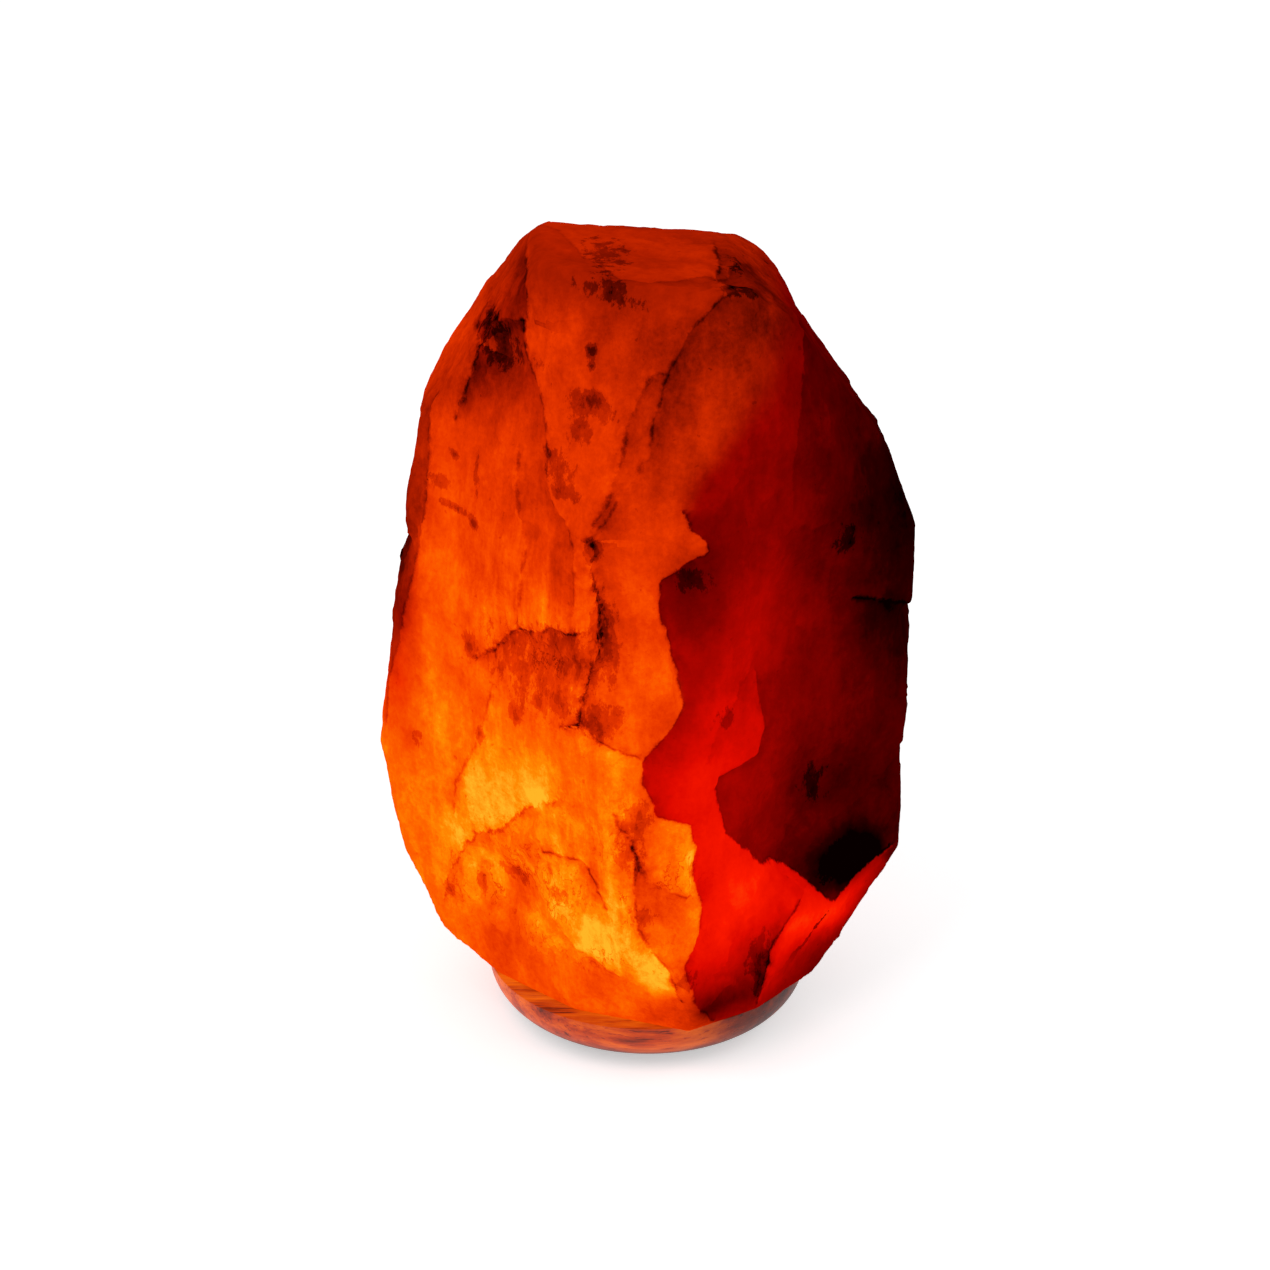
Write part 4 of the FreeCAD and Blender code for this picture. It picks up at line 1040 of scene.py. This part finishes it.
@dataclass
class WoodenBase:
    """The turned dish under the stone, with its recess, groove and screw holes.

    Attributes:
        turning: finish of the dish.
        rounding: radius of its edges, in millimetres.
        screws: bearings of the screws, in degrees.
        groove: width of the cord's groove, in millimetres.
        head: radius and depth of a countersink, in millimetres.
        shank: radius of a screw's hole, in millimetres.
    """

    turning: WoodFinish = field(default_factory=WoodFinish)
    rounding: float = 0.35
    screws: tuple[float, ...] = (30.0, 150.0, 270.0)
    groove: float = 8.0
    head: tuple[float, float] = (3.9, 2.3)
    shank: float = 2.05

    def outline(self) -> list[tuple[float, float]]:
        """Closed outline of the dish, from its recess round its side to its hole."""
        radius, top = corner("wood_base").x, corner("wood_base").z
        bottom = corner("wood_base", high=False).z
        plate = corner("cover_plate")
        recess, ledge = plate.x + 0.5, plate.z
        hole = corner("spring_clip_right").x + 0.42
        flat = math.hypot(*self.screw_place(0.0)) + 4.5
        round_top = top - 0.6
        side = arc((flat, round_top), radius - flat, round_top - bottom, -90, 0, 28)
        return [(recess, bottom), *side, (radius, top), (hole, top), (hole, ledge),
                (recess, ledge)]

    def build(self) -> bpy.types.Object:
        """Turn the dish, cut its groove and screw holes, and place it."""
        made = turned("turned_base", self.outline(), 192)
        low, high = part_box("wood_base")
        groove = bpy.data.meshes.new("groove")
        work = bmesh.new()
        bmesh.ops.create_cube(work, size=1.0)
        top = corner("cord_gland").z + 0.1
        for vertex in work.verts:
            vertex.co.x *= self.groove * MM
            vertex.co.y = (vertex.co.y + 0.5) * high.y * 2
            vertex.co.z = (vertex.co.z + 0.5) * top * MM - 0.001
        work.to_mesh(groove)
        work.free()
        tool = bpy.data.objects.new("groove", groove)
        bpy.context.scene.collection.objects.link(tool)
        cut(made, tool)
        bottom, above = low.z / MM, high.z / MM + 2.0
        wide, deep = self.head
        outline = [(0.0, bottom - 1), (wide, bottom - 1), (wide, bottom),
                   (self.shank, bottom + deep), (self.shank, above), (0.0, above)]
        for bearing in self.screws:
            cut(made, turned("countersink", outline, 32, self.screw_place(bearing)))
        soften(made, self.rounding, 35.0)
        return carry(made, "crystal_and_base", "wood_base",
                     self.turning.material())

    def screw_place(self, bearing: float) -> tuple[float, float]:
        """Place of the screw at a bearing, from the screws' own box."""
        low = corner("base_screws", high=False)
        circle = -low.y - 3.8
        turn = math.radians(bearing)
        return circle * math.cos(turn), circle * math.sin(turn)


# ---------------------------------------------------------------- plain finishes


@dataclass(frozen=True)
class MetalFinish:
    """Metal, drawn or turned, with fine lines and a little dullness.

    Attributes:
        name: the material's name.
        colour: its clean colour.
        dull: its colour where it has dulled.
        roughness: its mean roughness.
        lines: spacing of the drawing lines, in millimetres.
    """

    name: str
    colour: Colour
    dull: Colour
    roughness: float = 0.28
    lines: float = 0.5

    def material(self) -> bpy.types.Material:
        """Build the material."""
        graph = Graph(self.name)
        tarnish = graph.noise(5.0, 5.0, 0.65)
        lines = graph.noise(self.lines, 3.0, 0.6, (1, 1, 0.08))
        colour = graph.mix(graph.span(tarnish, 0.42, 0.7), self.colour, self.dull)
        rough = graph.total((tarnish, 0.2), (lines, 0.14), (1.0, self.roughness - 0.17))
        graph.relief(lines, 0.02)
        return graph.finish(colour, rough, Metallic=1.0)


@dataclass(frozen=True)
class MouldedFinish:
    """Moulded plastic, rubber, phenolic or glazed ceramic with a fine skin.

    Attributes:
        name: the material's name.
        colour: its colour.
        roughness: its mean roughness.
        skin: size of its fine texture, in millimetres.
        depth: depth of that texture, in millimetres.
        mottle: how much its colour varies.
    """

    name: str
    colour: Colour
    roughness: float = 0.45
    skin: float = 0.6
    depth: float = 0.03
    mottle: float = 0.25

    def material(self) -> bpy.types.Material:
        """Build the material."""
        graph = Graph(self.name)
        cloud = graph.noise(7.0, 5.0, 0.6)
        skin = graph.noise(self.skin, 3.0, 0.6)
        paler = tuple(min(1.0, value * (1 + self.mottle) + 0.01) for value in self.colour)
        colour = graph.mix(graph.span(cloud, 0.3, 0.75), self.colour, paler)
        rough = graph.total((skin, 0.16), (cloud, 0.1), (1.0, self.roughness - 0.13))
        graph.relief(skin, self.depth)
        return graph.finish(colour, rough)


@dataclass(frozen=True)
class GlassFinish:
    """Blown or pressed glass, clear or dark, with a glow where it is lit.

    Attributes:
        name: the material's name.
        colour: its colour.
        clear: share of light that passes through it.
        roughness: how much it scatters.
        glow: strength of its own light.
    """

    name: str
    colour: Colour
    clear: float = 1.0
    roughness: float = 0.05
    glow: float = 0.0

    def material(self) -> bpy.types.Material:
        """Build the material."""
        graph = Graph(self.name)
        cords = graph.noise(9.0, 3.0, 0.5)
        colour = graph.mix(graph.span(cords, 0.3, 0.8, 0.0, 0.15), self.colour, (0.9, 0.8, 0.65))
        rough = graph.total((cords, 0.06), (1.0, self.roughness))
        warm = graph.ramp(cords, (0.2, tint(255, 176, 84)), (0.8, tint(255, 214, 150)))
        graph.feed(graph.shader.inputs["Emission Color"], warm)
        graph.relief(cords, 0.05)
        return graph.finish(colour, rough, Transmission_Weight=self.clear,
                            Emission_Strength=self.glow)


class Metal(Enum):
    """The lamp's metals."""

    STEEL = MetalFinish("steel", tint(196, 196, 192), tint(150, 146, 138), 0.3)
    SPRING = MetalFinish("spring_steel", tint(150, 152, 158), tint(110, 108, 108), 0.26)
    RIVET = MetalFinish("rivet_steel", tint(205, 205, 204), tint(160, 158, 152), 0.34)
    CONTACT = MetalFinish("contact_brass", tint(226, 184, 92), tint(176, 130, 58), 0.26)
    SHELL = MetalFinish("shell_brass", tint(222, 178, 86), tint(160, 116, 52), 0.28)
    CAP = MetalFinish("cap_metal", tint(214, 208, 188), tint(168, 158, 136), 0.24)
    SOLDER = MetalFinish("solder", tint(186, 186, 184), tint(120, 120, 122), 0.42)
    LEAD = MetalFinish("lead_metal", tint(190, 170, 150), tint(130, 116, 104), 0.34)


class Moulded(Enum):
    """The lamp's plastics, rubbers and ceramic."""

    PLUG = MouldedFinish("grey_plastic", tint(132, 134, 136), 0.5)
    FOOT = MouldedFinish("black_rubber", tint(26, 26, 27), 0.75, 0.4, 0.05)
    PLATE = MouldedFinish("black_plastic", tint(30, 30, 32), 0.42, 0.5, 0.05)
    BODY = MouldedFinish("phenolic", tint(46, 30, 24), 0.3, 1.1, 0.02, 0.5)
    BLOCK = MouldedFinish("ceramic", tint(232, 228, 216), 0.24, 1.4, 0.02, 0.05)
    GLAND = MouldedFinish("gland_rubber", tint(34, 34, 35), 0.66, 0.4, 0.04)


class Glass(Enum):
    """The bulb's glasses."""

    INSULATOR = GlassFinish("black_glass", tint(20, 18, 22), 0.0, 0.1)
    ENVELOPE = GlassFinish("frosted_glass", tint(255, 244, 226), 0.9, 0.2, 0.5)
    STEM = GlassFinish("clear_glass", tint(238, 240, 236), 0.9, 0.04, 0.12)


@dataclass(frozen=True)
class FilamentFinish:
    """White-hot tungsten.

    Attributes:
        strength: strength of its light.
    """

    strength: float = 14.0

    def material(self) -> bpy.types.Material:
        """Build the material."""
        graph = Graph("tungsten")
        heat = graph.noise(2.0, 3.0)
        hot = graph.ramp(heat, (0.3, tint(255, 190, 110)), (0.7, tint(255, 226, 176)))
        graph.feed(graph.shader.inputs["Emission Color"], hot)
        colour = graph.mix(heat, tint(120, 110, 104), tint(160, 150, 140))
        return graph.finish(colour, 0.5, Metallic=1.0, Emission_Strength=self.strength)


# ---------------------------------------------------------------- holder, fixings and bulb


@dataclass
class Thread:
    """Rounded screw thread pressed into a thin tube.

    Attributes:
        pitch: rise in one turn, in millimetres.
        depth: crest to root, in millimetres.
    """

    pitch: float = 2.82
    depth: float = 0.75

    def reach(self, radius: float, height: float, angle: float, low: float,
              high: float) -> float:
        """Radius at a height and angle, with the thread dying out at both ends."""
        ends = min(1.0, max(0.0, (height - low) / 1.2), max(0.0, (high - height) / 1.2))
        wave = 0.5 - 0.5 * math.cos(2 * math.pi * height / self.pitch - angle)
        return radius - self.depth * wave * ends

    def tube(self, name: str, inner: float, outer: float, low: float, high: float,
             foot: list[tuple[float, float]] | None = None) -> bpy.types.Object:
        """Threaded tube between two heights.

        Args:
            name: the piece's name.
            inner, outer: radii at the crests, in millimetres.
            low, high: its ends, in millimetres.
            foot: outline of the rim that closes in at its foot, from outside to inside.

        Returns:
            The object.
        """
        rows = int((high - low) / self.pitch * 14)
        heights = np.linspace(low, high, rows + 1)
        outside = [(outer, z) for z in heights]
        inside = [(inner, z) for z in heights[::-1]]
        profile = outside + inside + (foot or [])
        return turned(name, profile, 84,
                      wave=lambda r, z, a: self.reach(r, z, a, low + 0.6, high - 0.6)
                      if r in (inner, outer) else r)


@dataclass
class LampHolder:
    """Plate, clips, phenolic body, contacts and screw shell."""

    thread: Thread = field(default_factory=Thread)

    def build(self) -> None:
        """Dress the holder's nodes and make its threaded shell."""
        dress(Moulded.PLATE.value.material(), "cover_plate")
        dress(Moulded.BODY.value.material(), "socket_housing")
        dress(Moulded.BLOCK.value.material(), "contact_block")
        dress(Moulded.GLAND.value.material(), "cord_gland")
        dress(Metal.CONTACT.value.material(), "centre_contact", "side_contact",
              "terminal_clamps", "terminal_screws")
        dress(Metal.SPRING.value.material(), "spring_clip_left", "spring_clip_right")
        dress(Metal.RIVET.value.material(), "clip_rivets")
        low, high = corner("thread_shell", high=False), corner("thread_shell")
        bore = corner("bulb_cap").x + 0.1
        made = self.thread.tube("screw_shell", bore, high.x, low.z, high.z)
        carry(made, "holder", "thread_shell", Metal.SHELL.value.material())


@dataclass
class Fixings:
    """Screws, wall plugs and rubber feet."""

    foot_bearings: tuple[float, ...] = (55.0, 125.0, 235.0, 305.0)

    def build(self) -> None:
        """Dress the screws and plugs, and make the feet."""
        dress(Metal.STEEL.value.material(), "base_screws", "plate_screws")
        dress(Moulded.PLUG.value.material(), "wall_plugs")
        high = corner("rubber_feet")
        radius, top = 4.0, high.z
        circle = (high.y - radius) / math.sin(math.radians(self.foot_bearings[0]))
        feet = []
        for index, bearing in enumerate(self.foot_bearings):
            turn = math.radians(bearing)
            outline = [(0.0, 0.25), (2.0, 0.25), (2.4, 0.0),
                       *arc((radius - 1.0, 0.45), 0.45, 0.45, -90, -10, 5),
                       (radius, top - 0.3), (radius - 0.15, top), (0.0, top)]
            feet.append(turned(f"foot_{index}", outline, 48,
                               (circle * math.cos(turn), circle * math.sin(turn))))
        with bpy.context.temp_override(active_object=feet[0], selected_editable_objects=feet):
            bpy.ops.object.join()
        feet[0].name = "soft_feet"
        carry(feet[0], "crystal_and_base", "rubber_feet",
              Moulded.FOOT.value.material())


@dataclass
class Bulb:
    """Small screw-in bulb: cap, insulator, envelope, stem, leads and filament."""

    thread: Thread = field(default_factory=Thread)
    glass_wall: float = 0.9
    coil_radius: float = 0.42
    coil_wire: float = 0.09
    coil_turns: int = 26

    def cap(self) -> None:
        """Threaded cap that closes in on its insulator."""
        low, high = corner("bulb_cap", high=False), corner("bulb_cap")
        wall, mouth = 0.3, 4.2
        rim = [(high.x - wall, low.z + wall), (mouth, low.z + wall), (mouth, low.z),
               (high.x - wall - 0.001, low.z)]
        made = self.thread.tube("screw_cap", high.x - wall, high.x, low.z + wall, high.z, rim)
        carry(made, "bulb", "bulb_cap", Metal.CAP.value.material())

    def envelope(self) -> None:
        """Blown envelope with an open neck."""
        low, high = corner("bulb_glass", high=False), corner("bulb_glass")
        cap_top, radius = corner("bulb_cap").z, high.x
        neck = corner("bulb_cap").x - 0.4
        straight = high.z - radius
        wide = cap_top + 13.0
        shape = [(neck, low.z), (neck, cap_top)]
        for share in np.linspace(0, 1, 17)[1:]:
            swell = 0.5 - 0.5 * math.cos(math.pi * share)
            shape.append((neck + (radius - neck) * swell, cap_top + (wide - cap_top) * share))
        outer = shape + arc((0, straight), radius, radius, 0, 90, 18)
        wall = self.glass_wall
        inner = [(max(0.0, r - wall), z - (wall if r < wall else 0.0)) for r, z in outer[:-19]]
        inner += arc((0, straight), radius - wall, radius - wall, 0, 90, 18)
        made = turned("blown_glass", outer + inner[::-1], 96)
        carry(made, "bulb", "bulb_glass", Glass.ENVELOPE.value.material())

    def filament(self) -> None:
        """Coiled filament in a low bow between the leads."""
        low, high = corner("filament", high=False), corner("filament")
        reach, level = high.x - 0.1, (low.z + high.z) / 2 - 0.35
        share = np.linspace(0, 1, self.coil_turns * 14)
        turn = 2 * math.pi * self.coil_turns * share
        x = -reach + 2 * reach * share
        bow = level + 0.7 * np.sin(math.pi * share)
        path = np.stack((x, self.coil_radius * np.cos(turn),
                         bow + self.coil_radius * np.sin(turn)), axis=1)
        made = wire("hot_coil", path, self.coil_wire, 8)
        carry(made, "bulb", "filament", FilamentFinish().material())

    def build(self) -> None:
        """Make and dress the bulb."""
        self.cap()
        self.envelope()
        self.filament()
        dress(Glass.INSULATOR.value.material(), "cap_insulator")
        dress(Metal.SOLDER.value.material(), "tip_contact")
        dress(Glass.STEM.value.material(), "bulb_stem")
        dress(Metal.LEAD.value.material(), "lead_wires", "filament_supports")


# ---------------------------------------------------------------- studio


@dataclass
class Studio:
    """Pale floor, soft lamps, white surround and camera.

    Attributes:
        elevation: the camera's height above level, in degrees.
        distance: from the camera to what it looks at, in metres.
        aim: what it looks at.
        lens: focal length, in millimetres, on a 36 mm sensor.
        surround: strength of the white surround as light.
        floor_lift: light that the floor adds of its own to what the eye sees.
        lamps: each lamp's name, place in metres and power in watts.
        lamp_size: side of each square lamp, in metres.
    """

    elevation: float = 26.0
    distance: float = 1.1
    aim: Vector = field(default_factory=lambda: Vector((-0.004, 0.0, 0.1279)))
    lens: float = 102.0
    surround: float = 0.62
    floor_lift: float = 0.45
    lamps: tuple[tuple[str, Colour, float], ...] = (("key", (-0.9, -0.8, 1.5), 9.0),
                                                    ("fill", (1.1, -0.5, 1.0), 4.0))
    lamp_size: float = 1.2

    def camera(self) -> None:
        """Place the camera in front of the lamp, a little above it."""
        data = bpy.data.cameras.new("camera")
        data.lens, data.sensor_width = self.lens, 36.0
        made = bpy.data.objects.new("camera", data)
        rise = math.radians(self.elevation)
        back = Vector((0.0, -math.cos(rise), math.sin(rise)))
        made.location = self.aim + back * self.distance
        made.rotation_euler = back.to_track_quat("Z", "Y").to_euler()
        bpy.context.scene.collection.objects.link(made)
        bpy.context.scene.camera = made

    def floor(self) -> None:
        """Wide pale floor that keeps the lamp's shadow and is unseen from below."""
        turns = np.linspace(0, 2 * math.pi, 96, endpoint=False)
        rim = np.stack((6 * np.cos(turns), 6 * np.sin(turns), turns * 0), axis=1)
        made = piece("floor", rim, [range(96)], smooth=False)
        graph = Graph("pale_floor")
        speckle = graph.noise(40.0, 3.0)
        colour = graph.mix(speckle, (0.86, 0.86, 0.86), (0.9, 0.9, 0.9))
        graph.finish(colour, 0.9, Specular_IOR_Level=0.0)
        path = graph.node("ShaderNodeLightPath")
        seen = graph.math("MAXIMUM", path.outputs["Is Camera Ray"],
                          path.outputs["Is Glossy Ray"])
        seen = graph.math("MAXIMUM", seen, path.outputs["Is Transmission Ray"])
        lift = graph.node("ShaderNodeEmission")
        graph.feed(lift.inputs["Strength"], graph.math("MULTIPLY", seen, self.floor_lift))
        both = graph.node("ShaderNodeAddShader")
        graph.feed(both.inputs[0], graph.shader.outputs[0])
        graph.feed(both.inputs[1], lift.outputs[0])
        side = graph.node("ShaderNodeMixShader")
        below = graph.node("ShaderNodeNewGeometry").outputs["Backfacing"]
        graph.feed(side.inputs[0], below)
        graph.feed(side.inputs[1], both.outputs[0])
        graph.feed(side.inputs[2], graph.node("ShaderNodeBsdfTransparent").outputs[0])
        graph.feed(graph.output.inputs["Surface"], side.outputs[0])
        made.data.materials.append(graph.material)

    def world(self) -> None:
        """White surround: full strength to the eye, lower as light."""
        made = bpy.data.worlds.new("surround")
        made.use_nodes = True
        tree = made.node_tree
        ground = tree.nodes["Background"]
        ground.inputs["Color"].default_value = (1, 1, 1, 1)
        path = tree.nodes.new("ShaderNodeLightPath")
        top = None
        for name in ("Is Camera Ray", "Is Transmission Ray", "Is Glossy Ray"):
            if top is None:
                top = path.outputs[name]
                continue
            both = tree.nodes.new("ShaderNodeMath")
            both.operation = "MAXIMUM"
            tree.links.new(top, both.inputs[0])
            tree.links.new(path.outputs[name], both.inputs[1])
            top = both.outputs[0]
        level = tree.nodes.new("ShaderNodeMapRange")
        tree.links.new(top, level.inputs[0])
        level.inputs[3].default_value, level.inputs[4].default_value = self.surround, 1.0
        tree.links.new(level.outputs[0], ground.inputs["Strength"])
        bpy.context.scene.world = made

    def lamp(self, name: str, place: Colour, power: float) -> None:
        """Soft square lamp that faces the stone."""
        data = bpy.data.lights.new(name, "AREA")
        data.size, data.energy = self.lamp_size, power
        made = bpy.data.objects.new(name, data)
        made.location = place
        made.rotation_euler = (made.location - self.aim).to_track_quat("Z", "Y").to_euler()
        bpy.context.scene.collection.objects.link(made)

    def build(self) -> None:
        """Set up the studio."""
        self.camera()
        self.floor()
        self.world()
        for name, place, power in self.lamps:
            self.lamp(name, place, power)
        bpy.context.scene.view_settings.view_transform = "Standard"


def main() -> None:
    """Build the studio and the lamp's sub-assemblies in order."""
    logging.basicConfig(level=logging.INFO, format="%(message)s")
    Studio().build()
    for assembly in (Stone(), WoodenBase(), Fixings(), LampHolder(), Bulb()):
        assembly.build()
        LOG.info("%s built", type(assembly).__name__)


if __name__ == "__main__":
    main()
